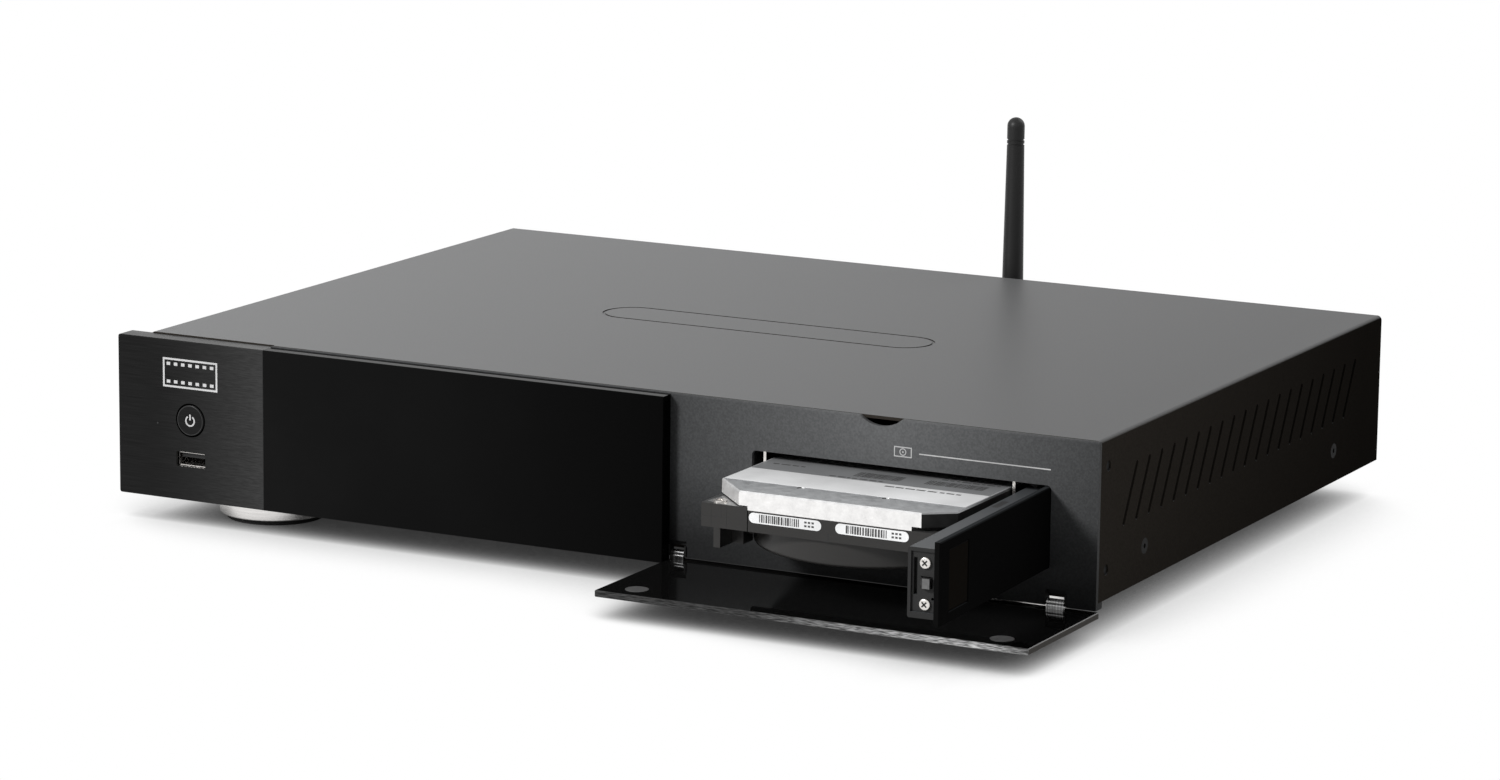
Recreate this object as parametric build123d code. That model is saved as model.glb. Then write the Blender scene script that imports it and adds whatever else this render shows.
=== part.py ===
from build123d import *
import os
from math import atan2, cos, degrees, hypot, radians, sin

# Media player with a trayless rack for one 3.5 inch hard drive. Millimetres. X runs across the
# front, Y from the front to the back, Z up. Y = 0 is the front of the display window, and the
# floor is at FLOOR, until the whole model is centred and set on Z = 0 at the end. It stands as
# in use: flap down, rack door open, drive drawn part way out and antenna upright.

# ---------------------------------------------------------------- driving sizes of the case
WIDTH = 430.0
BODY_DEPTH = 300.0
BODY_BOTTOM = 13.5
BODY_TOP = 75.0
SHEET = 1.2
BEND = 1.9
GAP = 0.2
SEAM = 0.05

RIGHT = WIDTH / 2
LEFT = -RIGHT
COVER_LEFT = LEFT + 10.0
FLOOR_TOP = BODY_BOTTOM + SHEET
ROOF = BODY_TOP - SHEET
INNER_LEFT = COVER_LEFT + SHEET + GAP
INNER_RIGHT = RIGHT - SHEET - GAP

FACE_BOTTOM = 9.0
FACE_TOP = 74.5
FACE_THICK = 9.1
FACE_RIGHT = -145.8
WINDOW_RIGHT = 35.6
RECESS = 5.9
FRAME_SHEET = 2.0
FRAME_BACK = RECESS + FRAME_SHEET
FRAME_BOTTOM = 10.9
COVER_FRONT = FRAME_BACK + SEAM
PANEL_FRONT = BODY_DEPTH - SHEET - GAP
PANEL_BACK = PANEL_FRONT + SHEET

# ---------------------------------------------------------------- front details
BUTTON_X = -180.4
BUTTON_Z = 42.2
BUTTON_RADIUS = 6.4
BUTTON_BORE = 6.95
BUTTON_TRAVEL = 0.8
USB_Z = 25.9
USB_WIDE = 13.1
USB_HIGH = 5.6
USB_DEEP = 16.5
USB_SHEET = 0.35

# ---------------------------------------------------------------- rack mouth, door and drive
MOUTH_LEFT = 71.0
MOUTH_RIGHT = 195.9
MOUTH_BOTTOM = 24.4
MOUTH_TOP = 56.4
MOUTH_CORNER = 1.7

DOOR_OPEN_ANGLE = 92.0
DOOR_REACH = 114.0
DOOR_TAIL = 9.8
DOOR_PIVOT_X = MOUTH_LEFT + 0.5 + DOOR_REACH
DOOR_PIVOT_Y = 16.6
DOOR_OUTER = 9.6
DOOR_INNER = -2.8
DOOR_PIN = 1.5

DRIVE_WIDE = 101.6
DRIVE_LONG = 147.0
DRIVE_HIGH = 25.4
DRIVE_X = 127.5
DRIVE_OUT = 46.0
DRIVE_BOTTOM = 27.6
DRIVE_TRAVEL_IN = 65.0
DRIVE_LEFT = DRIVE_X - DRIVE_WIDE / 2
DRIVE_RIGHT = DRIVE_X + DRIVE_WIDE / 2
DRIVE_FRONT = -DRIVE_OUT
DRIVE_BACK = DRIVE_FRONT + DRIVE_LONG
DRIVE_TOP = DRIVE_BOTTOM + DRIVE_HIGH
DRIVE_HOME = DRIVE_BACK + DRIVE_TRAVEL_IN
CASTING_TOP = 46.9
CASTING_SEAT = 45.9
CASTING_UNDER = 37.8

RACK_LEFT = MOUTH_LEFT - 3.0
RACK_RIGHT = MOUTH_RIGHT + 3.0
RACK_BOTTOM = 21.5
RACK_TOP = 59.5
RACK_BACK = 176.0
RACK_MID = (RACK_LEFT + RACK_RIGHT) / 2
ISOLATOR_REACH = 70.0
ISOLATOR_Y = (50.0, 140.0)

# ---------------------------------------------------------------- flap and its hinge
FLAP_LEFT = 36.0
FLAP_RIGHT = RIGHT
FLAP_FRONT = -54.4
FLAP_BACK = 9.0
FLAP_TOP = 9.9
FLAP_THICK = 2.6
FLAP_PIVOT_Y = 6.6
FLAP_PIVOT_Z = 12.3
FLAP_KNUCKLE = 1.35
EAR_FRONT = 4.9
EAR_BACK = 6.7
EARS = ((36.4, 42.2), (195.2, 202.1))
NOTCHES = ((WINDOW_RIGHT, 43.0), (194.4, 203.0))
NOTCH_TOP = 17.2
CHEEK = 0.5
CHEEK_GAP = 0.3
MAGNET_X = (49.2, 200.3)
MAGNET_Y = -45.2
MAGNET_RADIUS = 4.5

# ---------------------------------------------------------------- feet, antenna, rear sockets
FLOOR = -0.9
FOOT_X = (-161.0, 168.0)
FOOT_Y = (33.0, 256.0)
FOOT_RADIUS = 22.9
PAD_RADIUS = 19.8
PAD_TOP = FLOOR + 2.3

ANTENNA_X = 38.0
ANTENNA_Z = 54.0
ANTENNA_PIVOT_Y = 317.0
ANTENNA_TIP = 142.7
ANTENNA_WIDE = 4.7
ANTENNA_SLIM = 3.8

BOARD_UNDER = 20.0
BOARD_THICK = 1.6
BOARD_TOP = BOARD_UNDER + BOARD_THICK
SOCKET_BACK = BODY_DEPTH + 0.6


# ---------------------------------------------------------------- small helpers
def block(x0, x1, y0, y1, z0, z1):
    """A box between two corners."""
    return Pos((x0 + x1) / 2, (y0 + y1) / 2, (z0 + z1) / 2) * Box(x1 - x0, y1 - y0, z1 - z0)


def rod_x(radius, x0, x1, y, z):
    """A round bar along X."""
    return Pos((x0 + x1) / 2, y, z) * Rot(0, 90, 0) * Cylinder(radius, x1 - x0)


def rod_y(radius, x, y0, y1, z):
    """A round bar along Y."""
    return Pos(x, (y0 + y1) / 2, z) * Rot(90, 0, 0) * Cylinder(radius, y1 - y0)


def rod_z(radius, x, y, z0, z1):
    """A round bar along Z."""
    return Pos(x, y, (z0 + z1) / 2) * Cylinder(radius, z1 - z0)


def soften(shape, axis, radius):
    """Round all edges that run along one axis."""
    return fillet(shape.edges().filter_by(axis), radius)


def group(pieces):
    """Separate solids that share one node."""
    return Compound([solid for piece in pieces for solid in piece.solids()])


def hollow_socket(x0, x1, y0, y1, z0, z1, wall):
    """A sheet-metal socket shell, open towards the back."""
    inside = block(x0 + wall, x1 - wall, y0 + wall, y1 + 1, z0 + wall, z1 - wall)
    return block(x0, x1, y0, y1, z0, z1) - inside


# ---------------------------------------------------------------- the folded case
SLOT_COUNT = 20
SLOT_PITCH = 12.03
SLOT_FIRST_Y = 35.9
SLOT_MID_Z = 50.2
SLOT_RUN = 12.0
SLOT_RISE = 22.0
SLOT_WIDE = 2.1
SIDE_SCREW_Y = (51.0, 248.7)
SIDE_SCREW_Z = 26.8
FRONT_SCREW_Y = 14.6
FRONT_SCREW_Z = (25.0, 64.5)
SCREW_SHANK = 1.45
SCREW_HEAD = 3.1
SINK_DEEP = 1.15
MOTIF_LONG = 150.0
MOTIF_WIDE = 26.0
MOTIF_X = 5.6
MOTIF_Y = 145.0
MOTIF_DEEP = 0.35


def side_slots():
    """Slanted vents cut right across both sides of the cover."""
    lean = degrees(atan2(SLOT_RISE, SLOT_RUN))
    length = hypot(SLOT_RUN, SLOT_RISE) + SLOT_WIDE / 2
    start = Plane.YZ.offset(LEFT - 1)
    cutters = []
    for index in range(SLOT_COUNT):
        middle = Pos(SLOT_FIRST_Y + index * SLOT_PITCH, SLOT_MID_Z)
        outline = start * middle * SlotOverall(length, SLOT_WIDE, rotation=lean)
        cutters.append(extrude(outline, WIDTH + 2))
    return cutters


def sink(side, y, z):
    """A countersink in one side of the cover: side is 1 on the right and -1 on the left."""
    face = RIGHT if side > 0 else COVER_LEFT
    cone = Cone(SCREW_SHANK, SCREW_HEAD, SINK_DEEP)
    return Pos(face - side * SINK_DEEP / 2, y, z) * Rot(0, 90 * side, 0) * cone


def motif_groove():
    """A plain long oval, pressed into the top."""
    outer = SlotOverall(MOTIF_LONG, MOTIF_WIDE)
    inner = SlotOverall(MOTIF_LONG - 2.4, MOTIF_WIDE - 2.4)
    place = Plane.XY.offset(BODY_TOP - MOTIF_DEEP) * Pos(MOTIF_X, MOTIF_Y)
    return extrude(place * (outer - inner), 2 * MOTIF_DEEP)


def make_top_cover():
    outer = block(COVER_LEFT, RIGHT, COVER_FRONT, BODY_DEPTH, BODY_BOTTOM, BODY_TOP)
    outer = fillet(outer.edges().filter_by(Axis.Y).group_by(Axis.Z)[-1], BEND)
    inner = block(COVER_LEFT + SHEET, RIGHT - SHEET, 0, BODY_DEPTH + 1, 0, ROOF)
    inner = fillet(inner.edges().filter_by(Axis.Y).group_by(Axis.Z)[-1], BEND - SHEET)
    cover = outer - inner
    cover -= block(LEFT, FACE_RIGHT + SEAM, 0, FACE_THICK + SEAM, 0, BODY_TOP + 1)
    cover -= side_slots()
    for y in SIDE_SCREW_Y:
        cover -= rod_x(SCREW_SHANK + 0.1, LEFT, RIGHT + 1, y, SIDE_SCREW_Z)
        cover -= [sink(1, y, SIDE_SCREW_Z), sink(-1, y, SIDE_SCREW_Z)]
    for z in FRONT_SCREW_Z:
        cover -= rod_x(2.1, LEFT, RIGHT + 1, FRONT_SCREW_Y, z)
    cover -= motif_groove()
    return cover


def make_cover_screws():
    screws = []
    for y in SIDE_SCREW_Y:
        for side in (1, -1):
            face = RIGHT if side > 0 else COVER_LEFT
            ends = sorted((face - side * SINK_DEEP, face - side * 6.0))
            driver = rod_x(1.0, *sorted((face + side, face - side * 0.8)), y, SIDE_SCREW_Z)
            shank = rod_x(SCREW_SHANK, *ends, y, SIDE_SCREW_Z)
            screws.append(sink(side, y, SIDE_SCREW_Z) + shank - driver)
    return group(screws)


TRAY_FLANGE_TOP = 33.0


def make_base_tray():
    tray = block(INNER_LEFT, INNER_RIGHT, COVER_FRONT, PANEL_BACK, BODY_BOTTOM, FLOOR_TOP)
    tray += block(INNER_LEFT, INNER_LEFT + SHEET, 22, PANEL_FRONT, BODY_BOTTOM, TRAY_FLANGE_TOP)
    tray += block(INNER_RIGHT - SHEET, INNER_RIGHT, 22, PANEL_FRONT, BODY_BOTTOM, TRAY_FLANGE_TOP)
    tray += block(-200, 210, 11.3, 12.5, BODY_BOTTOM, 20)
    tray -= block(LEFT, FACE_RIGHT + GAP, 0, FACE_THICK + GAP, 0, 30)
    for x0, x1 in EARS:
        tray -= block(x0 - 4.2, x1 + 4.2, 0, 10.4, 0, 30)
    for y in SIDE_SCREW_Y:
        tray -= rod_x(SCREW_SHANK + 0.05, LEFT, RIGHT, y, SIDE_SCREW_Z)
    for x, y in foot_spots():
        tray -= rod_z(2.0, x, y, 0, 20)
    for row in range(3):
        for column in range(9):
            spot = Pos(-150 + column * 14, 180 + row * 24)
            slot = Plane.XY.offset(BODY_BOTTOM - 1) * spot * SlotOverall(18, 3, rotation=90)
            tray -= extrude(slot, 4)
    return tray


def make_rear_panel():
    panel = block(INNER_LEFT, INNER_RIGHT, PANEL_FRONT, PANEL_BACK, FLOOR_TOP, ROOF - 0.4)
    for low, high in REAR_CUTOUTS:
        panel -= block(low[0], high[0], PANEL_FRONT - 1, PANEL_BACK + 1, low[1], high[1])
    panel -= rod_y(3.3, ANTENNA_X, PANEL_FRONT - 1, PANEL_BACK + 1, ANTENNA_Z)
    for x in AUDIO_X:
        panel -= rod_y(5.4, x, PANEL_FRONT - 1, PANEL_BACK + 1, AUDIO_Z)
    for index in range(12):
        slot = Plane.XZ.offset(-PANEL_BACK - 1) * Pos(70 + index * 7, 56) * SlotOverall(
            16, 2.4, rotation=90)
        panel -= extrude(slot, 4)
    return panel


# ---------------------------------------------------------------- the front
def mouth_cutter(y0, y1):
    box = block(MOUTH_LEFT, MOUTH_RIGHT, y0, y1, MOUTH_BOTTOM, MOUTH_TOP)
    return soften(box, Axis.Y, MOUTH_CORNER)


FINGER_X = (WINDOW_RIGHT + RIGHT) / 2
FINGER_WIDE = 18.0
FINGER_DEEP = 3.5
LIP_BACK = 11.5
DISPLAY_HOLE = (-110.0, 0.0, 28.0, 56.0)


def make_front_frame():
    """Steel sheet behind the window and the flap, stepped back behind the left block."""
    frame = block(WINDOW_RIGHT, RIGHT, RECESS, FRAME_BACK, FRAME_BOTTOM, BODY_TOP - 0.1)
    frame = fillet(frame.edges().filter_by(Axis.X).group_by(Axis.Z)[-1].sort_by(Axis.Y)[0], 0.5)
    frame += block(FACE_RIGHT, WINDOW_RIGHT, RECESS, FRAME_BACK, BODY_BOTTOM, BODY_TOP - 0.1)
    step_back = FACE_THICK + FRAME_SHEET
    frame += block(FACE_RIGHT, FACE_RIGHT + 2, RECESS, step_back, FLOOR_TOP + 0.1, ROOF - 0.2)
    frame += block(-203, FACE_RIGHT + 1, FACE_THICK, step_back, FLOOR_TOP + 0.1, ROOF - 0.2)
    frame += block(INNER_LEFT, INNER_LEFT + 2, FACE_THICK, 20, 16, 72)
    frame += block(INNER_RIGHT - 2, INNER_RIGHT, RECESS, 20, 16, 72)
    frame += block(RIGHT - FRAME_SHEET, RIGHT, RECESS, LIP_BACK, FRAME_BOTTOM, BODY_BOTTOM)
    frame -= mouth_cutter(0, 20)
    for x0, x1 in NOTCHES:
        frame -= block(x0, x1, 0, 20, 0, NOTCH_TOP)
    radius = ((FINGER_WIDE / 2) ** 2 + FINGER_DEEP ** 2) / (2 * FINGER_DEEP)
    frame -= rod_y(radius, FINGER_X, 0, 20, BODY_TOP - FINGER_DEEP + radius)
    frame -= block(DISPLAY_HOLE[0], DISPLAY_HOLE[1], 0, 20, DISPLAY_HOLE[2], DISPLAY_HOLE[3])
    frame -= rod_y(9.0, BUTTON_X, 0, 20, BUTTON_Z)
    frame -= block(BUTTON_X - 8, BUTTON_X + 8, 0, 20, USB_Z - 4, USB_Z + 4)
    for z in FRONT_SCREW_Z:
        frame -= rod_x(1.25, LEFT, RIGHT, FRONT_SCREW_Y, z)
    return frame


def make_frame_screws():
    screws = []
    for z in FRONT_SCREW_Z:
        for side in (1, -1):
            face = INNER_RIGHT if side > 0 else INNER_LEFT
            head = rod_x(1.9, *sorted((face, face + side * 0.8)), FRONT_SCREW_Y, z)
            shank = rod_x(1.2, *sorted((face, face - side * 6)), FRONT_SCREW_Y, z)
            screws.append(head + shank)
    return group(screws)


def make_faceplate():
    plate = block(LEFT, FACE_RIGHT, 0, FACE_THICK, FACE_BOTTOM, FACE_TOP)
    corners = plate.edges().filter_by(Axis.Y).group_by(Axis.X)[0]
    plate = fillet(corners, 1.0)
    plate = chamfer(plate.faces().sort_by(Axis.Y)[0].edges(), 0.25)
    plate -= rod_y(BUTTON_BORE, BUTTON_X, -1, 12, BUTTON_Z)
    usb = block(BUTTON_X - 6.9, BUTTON_X + 6.9, -1, 12, USB_Z - 3.0, USB_Z + 3.0)
    plate -= soften(usb, Axis.Y, 0.5)
    return plate


def make_display_window():
    window = block(FACE_RIGHT + 0.1, WINDOW_RIGHT, 0, RECESS, FACE_BOTTOM, FACE_TOP)
    return chamfer(window.faces().sort_by(Axis.Y)[0].edges(), 0.2)


def make_display_module():
    x0, x1, z0, z1 = DISPLAY_HOLE
    glass = block(x0 + 1, x1 - 1, RECESS + 0.3, 14, z0 + 1, z1 - 1)
    board = block(x0 - 8, x1 + 8, 14, 14 + BOARD_THICK, z0 - 5, z1 + 5)
    return glass + board


def make_power_button():
    cap = rod_y(BUTTON_RADIUS, BUTTON_X, -0.4, 9.4, BUTTON_Z)
    cap = fillet(cap.edges().group_by(Axis.Y)[0], 0.7)
    dish = Pos(BUTTON_X, -30.25, BUTTON_Z) * Sphere(30.0)
    flange = rod_y(8.0, BUTTON_X, FACE_THICK + 0.3, 10.6, BUTTON_Z)
    plunger = rod_y(2.0, BUTTON_X, 10.6, 15.6 - BUTTON_TRAVEL, BUTTON_Z)
    return cap - dish + flange + plunger


def make_power_switch():
    body = block(BUTTON_X - 3, BUTTON_X + 3, 16, 18, BUTTON_Z - 3, BUTTON_Z + 3)
    return body + rod_y(1.5, BUTTON_X, 15.7, 16, BUTTON_Z)


def make_front_board():
    return block(-200, -152, 18, 18 + BOARD_THICK, 19, 62)


def make_front_standoffs():
    posts = []
    for x in (-192, -156):
        for z in (22.5, 57):
            posts.append(rod_y(2.5, x, FACE_THICK + FRAME_SHEET, 18, z))
    return group(posts)


def make_front_usb_shell():
    x0 = BUTTON_X - USB_WIDE / 2
    z0 = USB_Z - USB_HIGH / 2
    shell = block(x0, x0 + USB_WIDE, 1.5, 1.5 + USB_DEEP, z0, z0 + USB_HIGH)
    wall = USB_SHEET
    shell -= block(x0 + wall, x0 + USB_WIDE - wall, 0, 1 + USB_DEEP, z0 + wall,
                   z0 + USB_HIGH - wall)
    return shell


def make_front_usb_tongue():
    tongue = block(BUTTON_X - 5.6, BUTTON_X + 5.6, 2.6, 17, USB_Z + 0.5, USB_Z + 2.3)
    back = block(BUTTON_X - 6.1, BUTTON_X + 6.1, 15, 17.4, USB_Z - 2.4, USB_Z + 2.4)
    return tongue + back


# ---------------------------------------------------------------- flap
def make_flap_panel():
    bottom = FLAP_TOP - FLAP_THICK
    panel = block(FLAP_LEFT, FLAP_RIGHT, FLAP_FRONT, FLAP_BACK, bottom, FLAP_TOP)
    panel = chamfer(panel.edges(), 0.3)
    for x in MAGNET_X:
        panel -= rod_z(MAGNET_RADIUS, x, MAGNET_Y, FLAP_TOP - 1.0, FLAP_TOP + 1)
    return panel


def make_flap_ears():
    ears = []
    for x0, x1 in EARS:
        web = block(x0, x1, EAR_FRONT, EAR_BACK, FLAP_TOP, FLAP_PIVOT_Z)
        web = fillet(web.edges().filter_by(Axis.X).group_by(Axis.Z)[-1].sort_by(Axis.Y)[0], 1.2)
        knuckle = rod_x(FLAP_KNUCKLE, x0, x1, FLAP_PIVOT_Y, FLAP_PIVOT_Z)
        bore = rod_x(0.8, x0 - 1, x1 + 1, FLAP_PIVOT_Y, FLAP_PIVOT_Z)
        ears.append(web + knuckle - bore)
    return group(ears)


def make_flap_magnets():
    discs = [rod_z(MAGNET_RADIUS, x, MAGNET_Y, FLAP_TOP - 1.0, FLAP_TOP + 0.05)
             for x in MAGNET_X]
    return group(discs)


def make_catch_magnets():
    height = FLAP_PIVOT_Z + FLAP_PIVOT_Y - MAGNET_Y
    return group([rod_y(MAGNET_RADIUS, x, FRAME_BACK, FRAME_BACK + 2, height) for x in MAGNET_X])


def cheeks(x0, x1):
    """The two thin lugs that carry a flap pin on either side of an ear."""
    return ((x0 - CHEEK - CHEEK_GAP, x0 - CHEEK_GAP), (x1 + CHEEK_GAP, x1 + CHEEK + CHEEK_GAP))


def make_hinge_brackets():
    brackets = []
    for x0, x1 in EARS:
        bracket = block(x0 - 4, x1 + 4, FRAME_BACK, FRAME_BACK + 1, 15.2, 21)
        for low, high in cheeks(x0, x1):
            cheek = block(low, high, 5.3, FRAME_BACK + 1, 11.2, 15.4)
            bracket += cheek - rod_x(0.75, low - 1, high + 1, FLAP_PIVOT_Y, FLAP_PIVOT_Z)
        brackets.append(bracket)
    return group(brackets)


def make_flap_pins():
    pins = []
    for x0, x1 in EARS:
        ends = cheeks(x0, x1)
        pins.append(rod_x(0.75, ends[0][0], ends[1][1], FLAP_PIVOT_Y, FLAP_PIVOT_Z))
    return group(pins)


# ---------------------------------------------------------------- rack
BAY_LEFT = DRIVE_LEFT - 0.5
BAY_RIGHT = DRIVE_RIGHT + 0.5
BAY_FLOOR = DRIVE_BOTTOM - 0.3
BAY_ROOF = DRIVE_TOP + 0.9
POCKET_BACK = 30.0
TAB_LOW = 36.0
TAB_HIGH = 38.5
SOCKET_LEFT = 112.0
SOCKET_RIGHT = 150.0


def isolator_spots():
    """Places of the four rubber mounts beside the rack."""
    return [(RACK_MID + side * ISOLATOR_REACH, y) for side in (-1, 1) for y in ISOLATOR_Y]


def make_rack_housing():
    housing = block(RACK_LEFT, RACK_RIGHT, COVER_FRONT, RACK_BACK, RACK_BOTTOM, RACK_TOP)
    housing = soften(housing, Axis.Y, 2.0)
    housing -= mouth_cutter(0, POCKET_BACK)
    housing -= block(BAY_LEFT, BAY_RIGHT, 20, RACK_BACK - 4, BAY_FLOOR, BAY_ROOF)
    housing -= block(SOCKET_LEFT - 3, SOCKET_RIGHT + 3, 160, RACK_BACK + 1, 27.9, 38)
    for bottom, top in ((MOUTH_BOTTOM, 27.4), (53.6, MOUTH_TOP)):
        housing += rod_z(3.0, DOOR_PIVOT_X, DOOR_PIVOT_Y, bottom, top)
    housing -= rod_z(DOOR_PIN, DOOR_PIVOT_X, DOOR_PIVOT_Y, 0, BODY_TOP)
    housing -= block(RACK_LEFT - 1, MOUTH_LEFT + 1, 9.4, 16.8, 37.8, 43.6)
    for x, y in isolator_spots():
        inner = RACK_LEFT + 1 if x < RACK_MID else RACK_RIGHT - 1
        outer = x - 5 if x < RACK_MID else x + 5
        tab = block(min(inner, outer), max(inner, outer), y - 9, y + 9, TAB_LOW, TAB_HIGH)
        housing += tab - rod_z(SCREW_SHANK, x, y, 0, BODY_TOP)
    return housing


def make_ground_springs():
    """Leaf springs at the mouth, one at each side of the drive."""
    leaves = []
    for x0 in (DRIVE_LEFT - 2.1, DRIVE_RIGHT + 0.6):
        leaf = block(x0, x0 + 1.1, 8.6, 9.0, 36, MOUTH_TOP)
        foot = block(x0, x0 + 1.1, 8.6, 14.0, MOUTH_TOP - 0.5, MOUTH_TOP)
        leaves.append(leaf + foot)
    return group(leaves)


def make_rack_brackets():
    brackets = []
    for side in (-1, 1):
        x = RACK_MID + side * ISOLATOR_REACH
        web = sorted((x + side * 3.0, x + side * 4.5))
        span = sorted((x - side * 4.4, x + side * 4.5))
        foot = sorted((x - side * 8.0, x + side * 4.5))
        bracket = block(*web, 34, 156, FLOOR_TOP, 30)
        bracket += block(*foot, 34, 156, FLOOR_TOP, FLOOR_TOP + 1.5)
        bracket += block(*span, 34, 156, 28.5, 30)
        for y in ISOLATOR_Y:
            bracket -= rod_z(SCREW_SHANK, x, y, 20, 40)
        brackets.append(bracket)
    return group(brackets)


def make_rack_isolators():
    bushes = []
    for x, y in isolator_spots():
        bush = rod_z(4.3, x, y, 30, TAB_LOW) - rod_z(SCREW_SHANK, x, y, 20, 50)
        waist = Pos(x, y, (30 + TAB_LOW) / 2) * Torus(4.6, 1.0)
        bushes.append(bush - waist)
    return group(bushes)


def make_isolator_screws():
    return group([rod_z(3.6, x, y, TAB_HIGH, TAB_HIGH + 2) + rod_z(SCREW_SHANK, x, y, 26, TAB_HIGH)
                  for x, y in isolator_spots()])


def make_door_pin():
    return rod_z(DOOR_PIN, DOOR_PIVOT_X, DOOR_PIVOT_Y, RACK_BOTTOM, RACK_TOP)


def make_backplane_board():
    return block(88, 168, RACK_BACK, RACK_BACK + BOARD_THICK, 23, 58)


def make_drive_socket():
    """Data and power socket at the back of the rack, with a contact tongue."""
    body = block(SOCKET_LEFT, SOCKET_RIGHT, DRIVE_HOME + 0.4, RACK_BACK, 28.4, 36.5)
    tongue = block(SOCKET_LEFT + 1, SOCKET_RIGHT - 1, DRIVE_HOME - 4.6, DRIVE_HOME + 1, 31.6, 32.8)
    return body + tongue


# ---------------------------------------------------------------- rack door, drawn along -Y
SHELL_LOW = 27.6
SHELL_HIGH = 53.4
SHELL_OUTER = 7.4
PLATE_FACE = -DOOR_REACH + 0.8
PLATE_BACK = -DOOR_REACH + 2.8
PLATE_LOW = 29.9
PLATE_HIGH = 51.9
DOOR_LOW = MOUTH_BOTTOM + 0.5
DOOR_HIGH = MOUTH_TOP - 0.5
BOLT_X = (2.2, 6.2)
BOLT_Z = (38.9, 42.6)
DOOR_SCREW_X = 3.8
DOOR_SCREW_Z = (32.8, 47.9)
RELEASE_Y = (-105.6, -87.6)
RELEASE_Z = (28.8, 52.0)


def stand_door_open(shape):
    """Move a door piece from its own frame, pivot at the origin, to its open place."""
    turn = DOOR_OPEN_ANGLE - 90.0
    return Pos(DOOR_PIVOT_X, DOOR_PIVOT_Y, 0) * Rot(0, 0, turn) * shape


def make_door_cover():
    cover = block(SHELL_OUTER, DOOR_OUTER, -DOOR_REACH, DOOR_TAIL, DOOR_LOW, DOOR_HIGH)
    cover = chamfer(cover.faces().sort_by(Axis.X)[-1].edges(), 0.4)
    cover -= block(0, 20, RELEASE_Y[0], RELEASE_Y[1], RELEASE_Z[0], RELEASE_Z[1])
    return stand_door_open(cover)


def make_door_shell():
    end = -DOOR_REACH
    shell = block(DOOR_INNER, SHELL_OUTER, end, DOOR_TAIL, SHELL_LOW, SHELL_HIGH)
    shell = fillet(shell.edges().filter_by(Axis.Y).group_by(Axis.X)[0], 0.8)
    shell -= block(DOOR_INNER + 1.2, 20, end - 1, PLATE_BACK, PLATE_LOW - 0.1, PLATE_HIGH + 0.1)
    shell -= block(DOOR_INNER + 1.5, 20, end + 5.2, -8, SHELL_LOW + 1.5, SHELL_HIGH - 1.5)
    shell -= block(BOLT_X[0] - 0.3, BOLT_X[1] + 0.3, end - 1, end + 9.2, BOLT_Z[0] - 0.3,
                   BOLT_Z[1] + 0.3)
    shell -= rod_z(DOOR_PIN + 0.06, 0, 0, 0, BODY_TOP)
    for z in DOOR_SCREW_Z:
        shell -= rod_y(1.05, DOOR_SCREW_X, end - 1, end + 8, z)
    return stand_door_open(shell)


def make_door_end_plate():
    plate = block(DOOR_INNER + 1.3, SHELL_OUTER - 0.1, PLATE_FACE, PLATE_BACK, PLATE_LOW,
                  PLATE_HIGH)
    plate -= block(BOLT_X[0] - 0.3, BOLT_X[1] + 0.3, -120, -100, BOLT_Z[0] - 0.3,
                   BOLT_Z[1] + 0.3)
    plate -= block(-0.8, 0.6, -120, -100, 36.0, 49.6)
    plate -= rod_y(0.55, 6.6, -120, -100, 34.9)
    for z in DOOR_SCREW_Z:
        plate -= rod_y(1.05, DOOR_SCREW_X, -120, -100, z)
    return stand_door_open(plate)


def cross_recess(x, y, z):
    """The driver recess of a cross-head screw that faces -Y."""
    arm_a = Pos(x, y, z) * Rot(0, 45, 0) * Box(2.6, 1.2, 0.6)
    arm_b = Pos(x, y, z) * Rot(0, -45, 0) * Box(2.6, 1.2, 0.6)
    return arm_a + arm_b


def make_door_screws():
    screws = []
    for z in DOOR_SCREW_Z:
        head = rod_y(2.15, DOOR_SCREW_X, PLATE_FACE - 1.1, PLATE_FACE, z)
        head = fillet(head.edges().group_by(Axis.Y)[0], 0.6)
        shank = rod_y(1.0, DOOR_SCREW_X, PLATE_FACE, PLATE_FACE + 7, z)
        recess = cross_recess(DOOR_SCREW_X, PLATE_FACE - 1.1, z)
        screws.append(stand_door_open(head + shank - recess))
    return group(screws)


def make_latch_bolt():
    bolt = block(BOLT_X[0], BOLT_X[1], -DOOR_REACH - 1.4, -107.3, BOLT_Z[0], BOLT_Z[1])
    nose = bolt.edges().filter_by(Axis.Z).group_by(Axis.Y)[0].sort_by(Axis.X)[0]
    return stand_door_open(chamfer(nose, 1.2))


def make_release_plate():
    plate = block(7.0, DOOR_OUTER - 0.25, RELEASE_Y[0] + 0.3, RELEASE_Y[1] - 0.3,
                  RELEASE_Z[0] + 0.3, RELEASE_Z[1] - 0.3)
    plate = chamfer(plate.faces().sort_by(Axis.X)[-1].edges(), 0.3)
    pusher = block(2.0, 7.0, -101.0, -93.0, 36.0, 45.0)
    return stand_door_open(plate + pusher)


# ---------------------------------------------------------------- hard drive
BOWL_X = 127.0
BOWL_Y = 3.0
BOWL_RADIUS = 47.6
BOWL_BOTTOM = 28.1
BOWL_ROUND = 1.6
CHAMFER_LEFT = (15.7, 16.5)
CHAMFER_RIGHT = (10.9, 8.4)
SEAT_LEFT = (17.4, 17.0)
SEAT_RIGHT = (12.8, 10.6)
LID_STEP = 47.5
LABEL_FRONT = -29.0
PILLS = ((96.7, 126.7), (132.5, 162.5))
PILL_LOW = 41.4
PILL_HIGH = 45.3
RAIL = 2.8
RAIL_BOSS = 7.5
RAIL_HOLES = (28.5, 70.2, 130.1)
DECK_WIDE = 22.0
DECK_UNDER = 31.0
DECK_BACK = BOWL_Y + 50.0


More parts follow.
